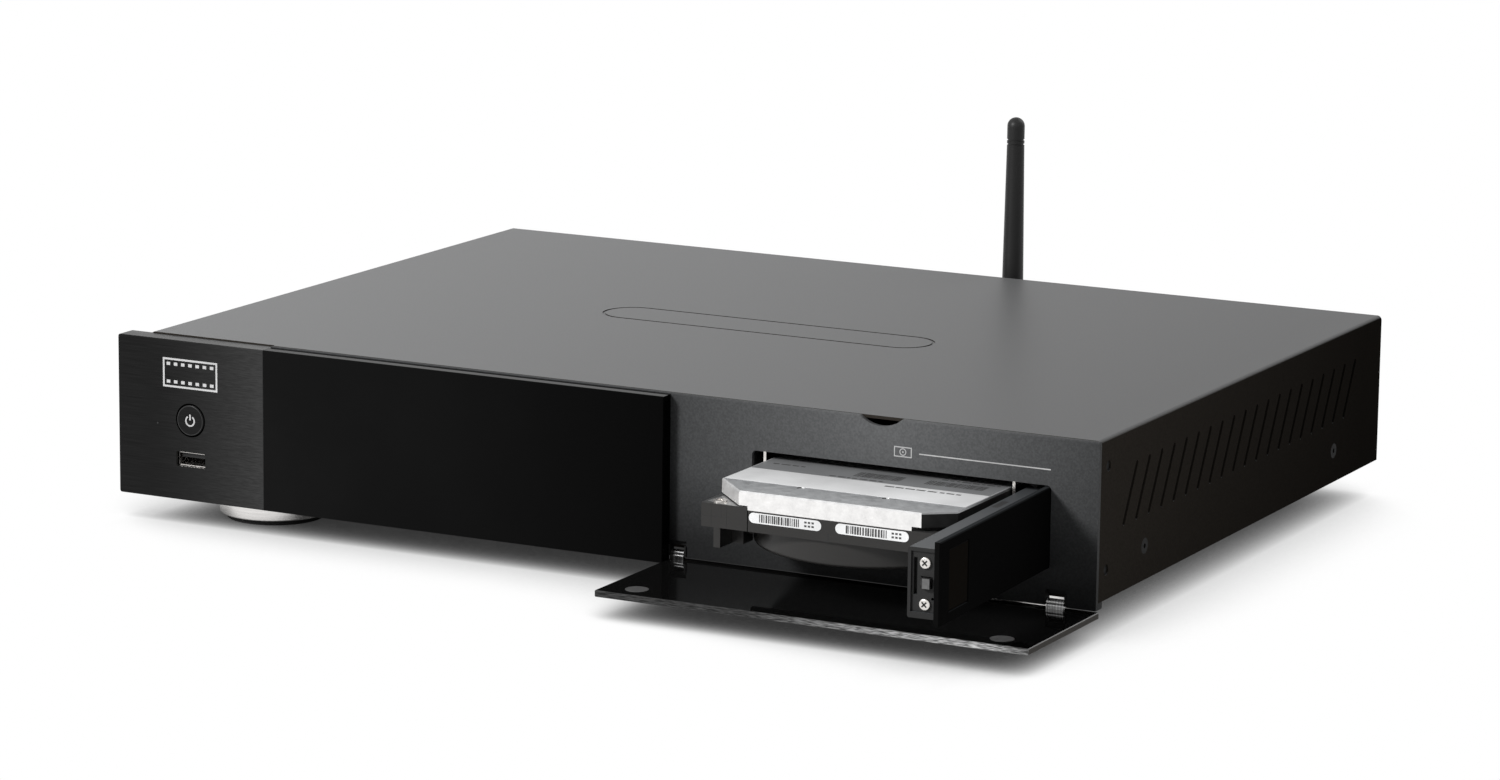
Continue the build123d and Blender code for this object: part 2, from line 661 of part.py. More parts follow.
def seat_outline():
    """Plan of the pressed cover's lower step, which the casting's seat follows."""
    return cover_outline(DRIVE_LEFT + 2, DRIVE_RIGHT - 2, DRIVE_FRONT, DRIVE_BACK - 2, SEAT_LEFT,
                         SEAT_RIGHT)


def drive_rails():
    """Thin side rails with a boss at each tapped hole, and the decks between rails and bowl."""
    rails = []
    for side in (-1, 1):
        edge = DRIVE_LEFT if side < 0 else DRIVE_RIGHT
        inner = edge - side * RAIL
        rails.append(block(*sorted((edge, inner)), DRIVE_FRONT + 10, DRIVE_BACK, DRIVE_BOTTOM,
                           CASTING_UNDER))
        rails.append(block(*sorted((edge, edge - side * DECK_WIDE)), DRIVE_FRONT + 24, DECK_BACK,
                           DECK_UNDER, CASTING_UNDER))
        for from_back in RAIL_HOLES:
            y = DRIVE_BACK - from_back + 7.0
            rails.append(block(*sorted((edge, edge - side * RAIL_BOSS)), y - 4, y + 4,
                               DRIVE_BOTTOM, CASTING_UNDER))
    return rails


def make_drive_base():
    rear_deck = DRIVE_BACK - 46
    base = block(DRIVE_LEFT, DRIVE_RIGHT, DRIVE_FRONT, DRIVE_BACK, CASTING_UNDER, CASTING_TOP)
    base += drive_rails()
    bowl = rod_z(BOWL_RADIUS, BOWL_X, BOWL_Y, BOWL_BOTTOM, CASTING_UNDER)
    base += fillet(bowl.edges().group_by(Axis.Z)[0], BOWL_ROUND)
    base += block(DRIVE_LEFT + 2, DRIVE_RIGHT - 2, rear_deck, DRIVE_BACK, 33.0, CASTING_UNDER)
    base -= extrude(Plane.XY.offset(CASTING_SEAT) * seat_outline(), 4)
    base -= block(DRIVE_X, DRIVE_RIGHT + 1, DRIVE_FRONT - 1, DRIVE_FRONT + 30, CASTING_SEAT, 60)
    base -= rod_z(BOWL_RADIUS - 2.5, BOWL_X, BOWL_Y, BOWL_BOTTOM + 2.3, 60)
    base -= block(DRIVE_LEFT + 5, DRIVE_RIGHT - 5, BOWL_Y, DRIVE_BACK - 9, 40, 60)
    base -= block(SOCKET_LEFT - 4.5, SOCKET_RIGHT + 4.5, DRIVE_BACK - 9, DRIVE_BACK + 1, 0,
                  CASTING_UNDER)
    base -= block(DRIVE_LEFT + 19.2, DRIVE_LEFT + 19.6, DRIVE_FRONT - 1, DRIVE_FRONT + 0.6, 0, 60)
    for from_back in RAIL_HOLES:
        y = DRIVE_BACK - from_back + 7.0
        for x0, x1 in ((DRIVE_LEFT - 1, DRIVE_LEFT + 4), (DRIVE_RIGHT - 4, DRIVE_RIGHT + 1)):
            base -= rod_x(1.6, x0, x1, y, DRIVE_BOTTOM + 6.35)
    return base


def cover_outline(left, right, front, back, left_cut, right_cut):
    """Plan of the pressed cover, with its two front corners cut off."""
    points = (
        (left, back), (left, front + left_cut[1]), (left + left_cut[0], front),
        (right - right_cut[0], front), (right, front + right_cut[1]), (right, back),
    )
    return make_face(Polyline(*points, close=True))


def make_drive_cover():
    upper = extrude(Plane.XY.offset(LID_STEP) * cover_outline(
        DRIVE_LEFT, DRIVE_RIGHT, DRIVE_FRONT, DRIVE_BACK, CHAMFER_LEFT, CHAMFER_RIGHT),
        DRIVE_TOP - LID_STEP)
    upper = chamfer(upper.faces().sort_by(Axis.Z)[-1].edges(), 0.5)
    lower = extrude(Plane.XY.offset(CASTING_SEAT) * seat_outline(), LID_STEP - CASTING_SEAT)
    cavity = block(DRIVE_LEFT + 6, DRIVE_RIGHT - 6, DRIVE_FRONT + 20, DRIVE_BACK - 8,
                   CASTING_SEAT - 1, DRIVE_TOP - 1.4)
    marks = [Pos(x, DRIVE_FRONT + 15.4, DRIVE_TOP) * Cylinder(1.5, 0.6)
             for x in (DRIVE_LEFT + 33.7, DRIVE_LEFT + 68.8)]
    return upper + lower - cavity - marks


def make_drive_labels():
    """Top sheet and two small stickers on the front."""
    sheet = block(DRIVE_LEFT + 1, DRIVE_RIGHT - 1, LABEL_FRONT, DRIVE_BACK - 4, DRIVE_TOP,
                  DRIVE_TOP + 0.1)
    stickers = [sheet]
    for x0, x1 in PILLS:
        spot = Plane.XZ.offset(-DRIVE_FRONT) * Pos((x0 + x1) / 2, (PILL_LOW + PILL_HIGH) / 2)
        stickers.append(extrude(spot * SlotOverall(x1 - x0, PILL_HIGH - PILL_LOW), 0.1))
    return group(stickers)


def make_drive_screw():
    """Casting screw on the open front corner."""
    corner = rod_z(2.6, DRIVE_LEFT + 6.0, DRIVE_FRONT + 3.8, CASTING_TOP, CASTING_TOP + 0.8)
    corner -= rod_z(1.1, DRIVE_LEFT + 6.0, DRIVE_FRONT + 3.8, CASTING_TOP + 0.4, CASTING_TOP + 2)
    return corner


def make_drive_board():
    board = block(DRIVE_LEFT + 9, DRIVE_RIGHT - 9, BOWL_Y + 53, DRIVE_BACK - 1, 31.4, 33.0)
    plug = block(SOCKET_LEFT - 4, SOCKET_RIGHT + 4, DRIVE_BACK - 8.5, DRIVE_BACK, 28.6, 36.6)
    board += plug
    board -= block(SOCKET_LEFT, SOCKET_RIGHT, DRIVE_BACK - 6.5, DRIVE_BACK + 1, 30.2, 34.2)
    board += block(DRIVE_X - 7, DRIVE_X + 7, BOWL_Y + 60, BOWL_Y + 74, 30.0, 31.4)
    return board


# ---------------------------------------------------------------- boards and rear sockets
MAIN_BOARD = (-190.0, -30.0, 120.0, 290.0)
SUPPLY_BOARD = (80.0, 205.0, 194.0, 290.0)
CHIP = (-110.0, 200.0)
HDMI_X = -167.0
NETWORK_X = -142.0
USB_STACK_X = -115.0
AUDIO_X = (-92.0, -76.0)
AUDIO_Z = 31.0
INLET_X = 178.0
INLET_Z = 40.0
REAR_CUTOUTS = (
    ((HDMI_X - 7.9, 21.3), (HDMI_X + 7.9, 27.8)),
    ((NETWORK_X - 8.3, 21.3), (NETWORK_X + 8.3, 35.5)),
    ((USB_STACK_X - 7.0, 21.3), (USB_STACK_X + 7.0, 37.5)),
    ((INLET_X - 14.2, INLET_Z - 10.2), (INLET_X + 14.2, INLET_Z + 10.2)),
)


def board_corners(board):
    x0, x1, y0, y1 = board
    return [(x, y) for x in (x0 + 6, x1 - 6) for y in (y0 + 6, y1 - 24)]


def make_board(board):
    plate = block(board[0], board[1], board[2], board[3], BOARD_UNDER, BOARD_TOP)
    for x, y in board_corners(board):
        plate -= rod_z(SCREW_SHANK, x, y, 0, 40)
    return plate


def make_main_board():
    chip = block(CHIP[0] - 12, CHIP[0] + 12, CHIP[1] - 12, CHIP[1] + 12, BOARD_TOP, 23.6)
    memory = [block(x, x + 9, 150, 162, BOARD_TOP, 22.8) for x in (-150, -108, -90)]
    data_socket = block(-44, -30, 144, 156, BOARD_TOP, 33.5)
    return make_board(MAIN_BOARD) + chip + memory + data_socket


def make_main_heatsink():
    base = block(CHIP[0] - 32, CHIP[0] + 32, CHIP[1] - 30, CHIP[1] + 30, 23.6, 27.6)
    fins = [block(CHIP[0] - 32 + index * 6.9, CHIP[0] - 30.1 + index * 6.9, CHIP[1] - 30,
                  CHIP[1] + 30, 27.6, 52) for index in range(10)]
    return base + fins


def make_board_standoffs():
    posts = []
    for x, y in board_corners(MAIN_BOARD) + board_corners(SUPPLY_BOARD):
        post = rod_z(3.0, x, y, FLOOR_TOP, BOARD_UNDER)
        posts.append(post - rod_z(SCREW_SHANK, x, y, FLOOR_TOP + 1, 40))
    return group(posts)


def make_board_screws():
    screws = []
    for x, y in board_corners(MAIN_BOARD) + board_corners(SUPPLY_BOARD):
        shank = rod_z(SCREW_SHANK, x, y, FLOOR_TOP + 1.5, BOARD_TOP)
        screws.append(shank + rod_z(2.8, x, y, BOARD_TOP, BOARD_TOP + 1.8))
    return group(screws)


def make_supply_parts():
    transformer = block(112, 144, 226, 258, BOARD_TOP, 46)
    spreader = block(150, 153, 208, 262, BOARD_TOP, 50)
    cans = [rod_z(9.0, x, 216, BOARD_TOP, 50) for x in (100, 124)]
    return group([transformer, spreader] + cans)


def make_hdmi_port():
    shell = hollow_socket(HDMI_X - 7.5, HDMI_X + 7.5, 287, SOCKET_BACK, BOARD_TOP, 27.4, 0.5)
    tongue = block(HDMI_X - 6, HDMI_X + 6, 287.4, SOCKET_BACK - 0.8, 24.3, 25.1)
    return shell + tongue


def make_network_port():
    body = block(NETWORK_X - 8, NETWORK_X + 8, 278, SOCKET_BACK, BOARD_TOP, 35.2)
    return body - block(NETWORK_X - 6, NETWORK_X + 6, 284, SOCKET_BACK + 1, 23.4, 31.6)


def make_usb_ports():
    """Two stacked sockets in one shell."""
    body = block(USB_STACK_X - 6.6, USB_STACK_X + 6.6, 283, SOCKET_BACK, BOARD_TOP, 37.2)
    for z in (22.3, 30.1):
        body -= block(USB_STACK_X - 6.2, USB_STACK_X + 6.2, 286, SOCKET_BACK + 1, z, z + 6.4)
        body += block(USB_STACK_X - 5.6, USB_STACK_X + 5.6, 285, SOCKET_BACK - 1, z + 3.6, z + 5.4)
    return body


def make_audio_ports():
    body = block(AUDIO_X[0] - 7, AUDIO_X[1] + 7, 284, PANEL_FRONT, BOARD_TOP, 38)
    for x in AUDIO_X:
        body += rod_y(5.2, x, PANEL_FRONT - 1, SOCKET_BACK, AUDIO_Z)
        body += rod_y(4.15, x, SOCKET_BACK - 1, SOCKET_BACK + 8.4, AUDIO_Z)
        body -= rod_y(1.7, x, SOCKET_BACK - 6, SOCKET_BACK + 9, AUDIO_Z)
    return body


def make_mains_inlet():
    """Three-blade mains inlet, with a flange on the outside of the rear panel."""
    body = block(INLET_X - 14, INLET_X + 14, 280, PANEL_BACK, INLET_Z - 10, INLET_Z + 10)
    flange = block(INLET_X - 20, INLET_X + 20, PANEL_BACK, PANEL_BACK + 2.4, INLET_Z - 12,
                   INLET_Z + 12)
    flange = soften(flange, Axis.Y, 3.0)
    well = block(INLET_X - 12, INLET_X + 12, 285, PANEL_BACK + 3, INLET_Z - 8, INLET_Z + 8)
    upper = well.edges().filter_by(Axis.Y).group_by(Axis.Z)[-1]
    inlet = body + flange - chamfer(upper, 4.0)
    for x, z in ((-7, -1.5), (0, -5.0), (7, -1.5)):
        inlet += block(INLET_X + x - 1, INLET_X + x + 1, 283, PANEL_BACK - 0.5,
                       INLET_Z + z - 2, INLET_Z + z + 2)
    return inlet


# ---------------------------------------------------------------- antenna
def make_antenna_socket():
    barrel = rod_y(3.1, ANTENNA_X, PANEL_FRONT - 6, 303.5, ANTENNA_Z)
    nut = extrude(Plane.XZ.offset(-PANEL_BACK - 2.2) * Pos(ANTENNA_X, ANTENNA_Z)
                  * RegularPolygon(4.6, 6), 2.2)
    inner_nut = extrude(Plane.XZ.offset(-PANEL_FRONT) * Pos(ANTENNA_X, ANTENNA_Z)
                        * RegularPolygon(4.6, 6), 2.2)
    return barrel + nut + inner_nut


def make_antenna_base():
    """Knurled nut, turning body and the fork that carries the whip."""
    nut = rod_y(4.6, ANTENNA_X, 302.4, 309.0, ANTENNA_Z)
    for index in range(16):
        angle = radians(index * 360 / 16)
        nut -= rod_y(0.35, ANTENNA_X + 4.7 * cos(angle), 302, 309, ANTENNA_Z + 4.7 * sin(angle))
    nut -= rod_y(3.2, ANTENNA_X, 302, 303.9, ANTENNA_Z)
    body = rod_y(4.9, ANTENNA_X, 309.0, 312.0, ANTENNA_Z)
    fork = rod_y(4.9, ANTENNA_X, 312.0, ANTENNA_PIVOT_Y, ANTENNA_Z)
    fork += rod_x(4.9, ANTENNA_X - 4.9, ANTENNA_X + 4.9, ANTENNA_PIVOT_Y, ANTENNA_Z)
    fork -= block(ANTENNA_X - 2.2, ANTENNA_X + 2.2, 311.6, 325, 40, 60)
    fork -= rod_x(1.2, 0, 60, ANTENNA_PIVOT_Y, ANTENNA_Z)
    return nut + body + fork


def make_antenna_pin():
    return rod_x(1.2, ANTENNA_X - 4.9, ANTENNA_X + 4.9, ANTENNA_PIVOT_Y, ANTENNA_Z)


def make_antenna_whip():
    neck = 60.4
    shoulder = 66.0
    collar = 130.6
    tongue = rod_x(4.6, ANTENNA_X - 2.0, ANTENNA_X + 2.0, ANTENNA_PIVOT_Y, ANTENNA_Z)
    tongue += block(ANTENNA_X - 2.0, ANTENNA_X + 2.0, ANTENNA_PIVOT_Y - 3.6,
                    ANTENNA_PIVOT_Y + 3.6, ANTENNA_Z, neck + 1)
    tongue -= rod_x(1.3, 0, 60, ANTENNA_PIVOT_Y, ANTENNA_Z)
    profile = Polyline(
        (0, neck), (ANTENNA_WIDE - 0.5, neck), (ANTENNA_WIDE, neck + 0.5),
        (ANTENNA_WIDE, shoulder), (ANTENNA_SLIM, collar), (ANTENNA_SLIM - 0.4, collar),
        (ANTENNA_SLIM - 0.4, collar + 0.8), (ANTENNA_SLIM, collar + 0.8),
        (ANTENNA_SLIM, collar + 1.9), (ANTENNA_SLIM - 0.4, collar + 1.9),
        (ANTENNA_SLIM - 0.4, collar + 2.7), (ANTENNA_SLIM, collar + 2.7),
        (ANTENNA_SLIM, ANTENNA_TIP - ANTENNA_SLIM),
    )
    dome = RadiusArc(profile @ 1, (0, ANTENNA_TIP), -ANTENNA_SLIM)
    axis_line = Line(dome @ 1, profile @ 0)
    outline = make_face(Plane.XZ * Curve([profile, dome, axis_line]))
    rod = revolve(outline, Axis.Z)
    return tongue + Pos(ANTENNA_X, ANTENNA_PIVOT_Y, 0) * rod


# ---------------------------------------------------------------- feet
def foot_spots():
    return [(x, y) for x in FOOT_X for y in FOOT_Y]


def make_foot_discs():
    discs = []
    for x, y in foot_spots():
        disc = rod_z(FOOT_RADIUS, x, y, PAD_TOP, BODY_BOTTOM)
        disc = fillet(disc.edges().group_by(Axis.Z)[0], 0.4)
        discs.append(disc - rod_z(4.0, x, y, 0, 8) - rod_z(2.0, x, y, 0, 20))
    return group(discs)


def make_foot_pads():
    return group([rod_z(PAD_RADIUS, x, y, FLOOR, PAD_TOP) - rod_z(4.0, x, y, -2, 8)
                  for x, y in foot_spots()])


def make_foot_screws():
    return group([rod_z(3.6, x, y, 5.0, 8.0) + rod_z(1.95, x, y, 8.0, 19) for x, y in foot_spots()])


# ---------------------------------------------------------------- internal leads
def lead(points, radius, bend):
    """A lead held all the way inside the case: straight runs joined by arcs."""
    path = FilletPolyline(*points, radius=bend)
    return sweep(Plane(path @ 0, z_dir=path % 0) * Circle(radius), path)


def make_internal_leads():
    """Data, supply, display and mains leads."""
    data = lead(((130, RACK_BACK + BOARD_THICK, 30), (130, 186, 30), (20, 186, 30),
                 (20, 150, 30), (-30, 150, 30)), 1.8, 5.0)
    supply = lead(((88, 230, BOARD_TOP), (88, 230, 32), (-36, 230, 32), (-36, 230, BOARD_TOP)),
                  2.2, 5.0)
    display = lead(((-60, 14 + BOARD_THICK, 40), (-60, 126, 40), (-60, 126, BOARD_TOP)), 1.6, 6.0)
    mains = lead(((INLET_X, 280, INLET_Z), (INLET_X, 268, INLET_Z), (INLET_X, 268, BOARD_TOP)),
                 2.4, 6.0)
    return group([data, supply, display, mains])


# ---------------------------------------------------------------- all nodes
def make_nodes():
    return {
        "base_tray": make_base_tray(),
        "top_cover": make_top_cover(),
        "rear_panel": make_rear_panel(),
        "front_frame": make_front_frame(),
        "faceplate": make_faceplate(),
        "display_window": make_display_window(),
        "display_module": make_display_module(),
        "front_board": make_front_board(),
        "front_standoffs": make_front_standoffs(),
        "front_usb_shell": make_front_usb_shell(),
        "front_usb_tongue": make_front_usb_tongue(),
        "power_switch": make_power_switch(),
        "power_button": make_power_button(),
        "cover_screws": make_cover_screws(),
        "frame_screws": make_frame_screws(),
        "hinge_brackets": make_hinge_brackets(),
        "flap_pins": make_flap_pins(),
        "catch_magnets": make_catch_magnets(),
        "flap_panel": make_flap_panel(),
        "flap_ears": make_flap_ears(),
        "flap_magnets": make_flap_magnets(),
        "rack_housing": make_rack_housing(),
        "rack_brackets": make_rack_brackets(),
        "rack_isolators": make_rack_isolators(),
        "isolator_screws": make_isolator_screws(),
        "ground_springs": make_ground_springs(),
        "door_pin": make_door_pin(),
        "backplane_board": make_backplane_board(),
        "drive_socket": make_drive_socket(),
        "door_cover": make_door_cover(),
        "door_shell": make_door_shell(),
        "door_end_plate": make_door_end_plate(),
        "door_screws": make_door_screws(),
        "latch_bolt": make_latch_bolt(),
        "release_plate": make_release_plate(),
        "drive_base": make_drive_base(),
        "drive_cover": make_drive_cover(),
        "drive_labels": make_drive_labels(),
        "drive_screw": make_drive_screw(),
        "drive_board": make_drive_board(),
        "main_board": make_main_board(),
        "main_heatsink": make_main_heatsink(),
        "board_standoffs": make_board_standoffs(),
        "board_screws": make_board_screws(),
        "supply_board": make_board(SUPPLY_BOARD),
        "supply_parts": make_supply_parts(),
        "hdmi_port": make_hdmi_port(),
        "network_port": make_network_port(),
        "usb_ports": make_usb_ports(),
        "audio_ports": make_audio_ports(),
        "mains_inlet": make_mains_inlet(),
        "antenna_socket": make_antenna_socket(),
        "antenna_base": make_antenna_base(),
        "antenna_pin": make_antenna_pin(),
        "antenna_whip": make_antenna_whip(),
        "foot_discs": make_foot_discs(),
        "foot_pads": make_foot_pads(),
        "foot_screws": make_foot_screws(),
        "internal_leads": make_internal_leads(),
    }


def centred(nodes):
    """Put the origin under the middle of the whole box, on the floor."""
    box = Compound([solid for shape in nodes.values() for solid in shape.solids()]).bounding_box()
    middle = box.center()
    shift = Pos(-middle.X, -middle.Y, -box.min.Z)
    return {name: shift * shape for name, shape in nodes.items()}, -middle.Y


nodes, y_shift = centred(make_nodes())
os.makedirs("parts", exist_ok=True)
for name, shape in nodes.items():
    export_step(shape, f"parts/{name}.step")
print("nodes", len(nodes), "front plane at y =", round(y_shift, 3))
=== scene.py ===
import random
from math import cos, pi, radians, sin

import bmesh
import bpy
from mathutils import Matrix, Vector


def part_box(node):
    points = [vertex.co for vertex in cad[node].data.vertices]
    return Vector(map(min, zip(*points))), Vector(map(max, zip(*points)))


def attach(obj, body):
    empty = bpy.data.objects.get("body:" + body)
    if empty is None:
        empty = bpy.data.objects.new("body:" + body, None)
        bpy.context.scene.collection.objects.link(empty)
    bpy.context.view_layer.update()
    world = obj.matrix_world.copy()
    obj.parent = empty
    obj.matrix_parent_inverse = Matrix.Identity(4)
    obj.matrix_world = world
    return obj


# The looks of the media player. Metres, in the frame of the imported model: X runs across the
# front, Y from the front to the back, Z up from the floor. Places of details are written in
# millimetres from the front of the display window (Y = 0), as the part's drawing has them.

bpy.context.scene.view_settings.view_transform = "Standard"
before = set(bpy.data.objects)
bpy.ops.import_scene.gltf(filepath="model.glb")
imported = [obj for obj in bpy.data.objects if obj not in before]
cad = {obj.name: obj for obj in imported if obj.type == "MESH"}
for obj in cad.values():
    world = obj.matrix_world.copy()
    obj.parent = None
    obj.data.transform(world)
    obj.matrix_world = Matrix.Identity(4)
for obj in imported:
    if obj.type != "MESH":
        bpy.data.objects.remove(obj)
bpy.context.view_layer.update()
MM = 0.001
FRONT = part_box("display_window")[0].y
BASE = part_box("faceplate")[0].z - 9.0 * MM
HINGE = (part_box("door_pin")[0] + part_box("door_pin")[1]) / 2
DOOR_LEAN = radians(2.0)
X = Vector((1, 0, 0))
Y = Vector((0, 1, 0))
Z = Vector((0, 0, 1))


def at(x, y, z):
    """A place in the part's drawing, in the frame."""
    return Vector((x * MM, FRONT + y * MM, BASE + z * MM))


# ---------------------------------------------------------------- camera and light
CAMERA_PLACE = (0.95077, -1.81873, 0.47084)
CAMERA_YAW = 27.216
CAMERA_PITCH = 11.454
CAMERA_ROLL = 0.694
CAMERA_LENS = 123.92
SENSOR = 36.0

WORLD_FILL = 0.3
FLOOR_SIZE = 10.0
FLOOR_COLOUR = 0.8
SHADOW_RAYS = 24
SHADOW_REACH = 0.11
SHADOW_DEEP = 0.03
SHADOW_FROM = 0.05
SHADOW_TO = 0.7
KEY_PLACE = (-0.92, -1.6, 1.15)
KEY_AIM = at(60, 0, 40)
KEY_SIZE = 0.45
KEY_POWER = 52.0
BACK_PLACE = (0.9, 1.5, 1.4)
BACK_AIM = at(0, 150, 40)
BACK_SIZE = 1.4
BACK_POWER = 14.0


def make_camera():
    """Looks down the back of its own -Z axis, turned by yaw and pitch, then rolled a little."""
    yaw, pitch, roll = (radians(a) for a in (CAMERA_YAW, CAMERA_PITCH, CAMERA_ROLL))
    ahead = Vector((-sin(yaw) * cos(pitch), cos(yaw) * cos(pitch), -sin(pitch)))
    level = Vector((cos(yaw), sin(yaw), 0.0))
    upright = level.cross(ahead)
    right = level * cos(roll) + upright * sin(roll)
    up = upright * cos(roll) - level * sin(roll)
    turn = Matrix((right, up, -ahead)).transposed().to_4x4()
    data = bpy.data.cameras.new("camera")
    data.lens = CAMERA_LENS
    data.sensor_width = SENSOR
    data.clip_start = 0.05
    data.clip_end = 50.0
    camera = bpy.data.objects.new("camera", data)
    camera.matrix_world = Matrix.Translation(CAMERA_PLACE) @ turn
    bpy.context.scene.collection.objects.link(camera)
    bpy.context.scene.camera = camera


def soft_lamp(name, place, target, size, power):
    """A square soft box that faces a point."""
    data = bpy.data.lights.new(name, "AREA")
    data.shape = "SQUARE"
    data.size = size
    data.energy = power
    lamp = bpy.data.objects.new(name, data)
    lamp.location = place
    aim = Vector(target) - Vector(place)
    lamp.rotation_euler = aim.to_track_quat("-Z", "Y").to_euler()
    bpy.context.scene.collection.objects.link(lamp)


def seen_background(tree):
    """1 for rays that show the background itself: camera, glossy and transmission rays."""
    path = tree.nodes.new("ShaderNodeLightPath")
    first = math_node(tree, "MAXIMUM", path.outputs["Is Camera Ray"], path.outputs["Is Glossy Ray"])
    return math_node(tree, "MAXIMUM", first, path.outputs["Is Transmission Ray"])


def make_world():
    """White where it is seen or mirrored, a plain fill for everything else."""
    world = bpy.data.worlds.new("studio")
    bpy.context.scene.world = world
    world.use_nodes = True
    tree = world.node_tree
    background = tree.nodes["Background"]
    background.inputs["Color"].default_value = (1.0, 1.0, 1.0, 1.0)
    strength = spread(tree, seen_background(tree), WORLD_FILL, 1.0, 0.0, 1.0)
    tree.links.new(strength, background.inputs["Strength"])


def make_floor():
    """Self-lit white where it is seen, darkened close to the object by ambient occlusion (the
    lamps cast no shadow in it); for light that bounces it is a plain pale surface."""
    bpy.ops.mesh.primitive_plane_add(size=FLOOR_SIZE)
    floor = bpy.context.object
    floor.name = "floor"
    material, tree, shader = start_material("floor_white", (FLOOR_COLOUR,) * 3, 0.9,
                                            Specular_IOR_Level=0.0)
    nearness = tree.nodes.new("ShaderNodeAmbientOcclusion")
    nearness.samples = SHADOW_RAYS
    nearness.inputs["Distance"].default_value = SHADOW_REACH
    glow = tree.nodes.new("ShaderNodeEmission")
    shade = spread(tree, nearness.outputs["AO"], SHADOW_DEEP, 1.0, SHADOW_FROM, SHADOW_TO)
    tree.links.new(shade, glow.inputs["Strength"])
    mix = tree.nodes.new("ShaderNodeMixShader")
    tree.links.new(seen_background(tree), mix.inputs["Fac"])
    tree.links.new(shader.outputs["BSDF"], mix.inputs[1])
    tree.links.new(glow.outputs["Emission"], mix.inputs[2])
    tree.links.new(mix.outputs["Shader"], tree.nodes["Material Output"].inputs["Surface"])
    floor.data.materials.append(material)


# ---------------------------------------------------------------- material helpers
def math_node(tree, operation, first, second):
    """A Math node on two sockets or numbers."""
    made = tree.nodes.new("ShaderNodeMath")
    made.operation = operation
    for socket, value in zip(made.inputs, (first, second)):
        if isinstance(value, (int, float)):
            socket.default_value = value
        else:
            tree.links.new(value, socket)
    return made.outputs[0]


def start_material(name, colour, roughness, metallic=0.0, **sockets):
    """A material with one Principled shader: (material, node tree, shader)."""
    material = bpy.data.materials.new(name)
    material.use_nodes = True
    tree = material.node_tree
    shader = tree.nodes["Principled BSDF"]
    shader.inputs["Base Color"].default_value = (*colour, 1.0)
    shader.inputs["Roughness"].default_value = roughness
    shader.inputs["Metallic"].default_value = metallic
    for key, value in sockets.items():
        shader.inputs[key.replace("_", " ")].default_value = value
    return material, tree, shader


def noise(tree, scale, detail=3.0, stretch=(1.0, 1.0, 1.0)):
    """Noise in object coordinates: scale is in waves per metre, stretched along the axes."""
    place = tree.nodes.new("ShaderNodeTexCoord")
    mapping = tree.nodes.new("ShaderNodeMapping")
    mapping.inputs["Scale"].default_value = stretch
    tree.links.new(place.outputs["Object"], mapping.inputs["Vector"])
    made = tree.nodes.new("ShaderNodeTexNoise")
    made.inputs["Scale"].default_value = scale
    made.inputs["Detail"].default_value = detail
    tree.links.new(mapping.outputs["Vector"], made.inputs["Vector"])
    return made.outputs["Fac"]


def spread(tree, value, low, high, start=0.3, end=0.7):
    """Map a value from start..end to low..high, held at both ends. The default start and end
    are the range that noise mostly stays in."""
    made = tree.nodes.new("ShaderNodeMapRange")
    made.inputs["From Min"].default_value = start
    made.inputs["From Max"].default_value = end
    made.inputs["To Min"].default_value = low
    made.inputs["To Max"].default_value = high
    tree.links.new(value, made.inputs["Value"])
    return made.outputs["Result"]


def split(tree, kind, axis):
    """One axis of the object coordinates ("Object") or of the surface normal ("Normal")."""
    place = tree.nodes.new("ShaderNodeTexCoord")
    parts = tree.nodes.new("ShaderNodeSeparateXYZ")
    tree.links.new(place.outputs[kind], parts.inputs["Vector"])
    return parts.outputs[axis]


def faces_up(tree):
    """1 on faces that look up, 0 on the others."""
    return spread(tree, split(tree, "Normal", "Z"), 0.0, 1.0, 0.5, 0.9)


MIX_A = 6                # the colour sockets of the Mix node, after those for other kinds of data
MIX_B = 7
MIX_RESULT = 2
BLACK = (0.0, 0.0, 0.0)


def tone(tree, fac, dark, pale):
    """A colour between two, each a colour or a socket."""
    mix = tree.nodes.new("ShaderNodeMix")
    mix.data_type = "RGBA"
    for index, value in ((MIX_A, dark), (MIX_B, pale)):
        if isinstance(value, tuple):
            mix.inputs[index].default_value = (*value, 1.0)
        else:
            tree.links.new(value, mix.inputs[index])
    tree.links.new(fac, mix.inputs["Factor"])
    return mix.outputs[MIX_RESULT]


def paint(tree, shader, colour):
    """The shader's base colour."""
    tree.links.new(colour, shader.inputs["Base Color"])


def vary_roughness(tree, shader, value):
    """The shader's roughness, where it isn't the same all over."""
    tree.links.new(value, shader.inputs["Roughness"])


def bump(tree, shader, height, distance):
    """Fine relief from a height."""
    made = tree.nodes.new("ShaderNodeBump")
    made.inputs["Strength"].default_value = 1.0
    made.inputs["Distance"].default_value = distance
    tree.links.new(height, made.inputs["Height"])
    tree.links.new(made.outputs["Normal"], shader.inputs["Normal"])


def grey(value, warmth=0.0):
    """A grey in linear light, slightly warm above 0 and cool below."""
    return (value * (1 + warmth), value, value * (1 - warmth))


# ---------------------------------------------------------------- materials
# Several colours hold painted light and shade: the case is paler on top than on its sides, the top
# paler at its left and the sides darker towards the back; the panel has a painted pool of light
# above the rack and painted shade low down; the faceplate has a painted highlight towards its right
# edge;
# the window, the lid, the left ear, the button's rim and the door, release and casting coats carry
# it too.
# The cover's painted light and shade: the top paler at the left, the sides darker towards the back.
COVER_LEFT = -0.2
COVER_RIGHT = 0.2
SIDE_FRONT = -0.1
SIDE_BACK = 0.17
BACK_SHADE = 0.35
COVER_SHEEN = 0.08
# A painted pool of light on the panel above the rack, and painted shade over its lower part.
PAINTED_LIGHT_CENTRE = at(128, 6, 70)
PAINTED_LIGHT_REACH = 0.105
PANEL_LOW = at(0, 0, 18).z
PANEL_HIGH = at(0, 0, 46).z
PANEL_SHADE = 0.35
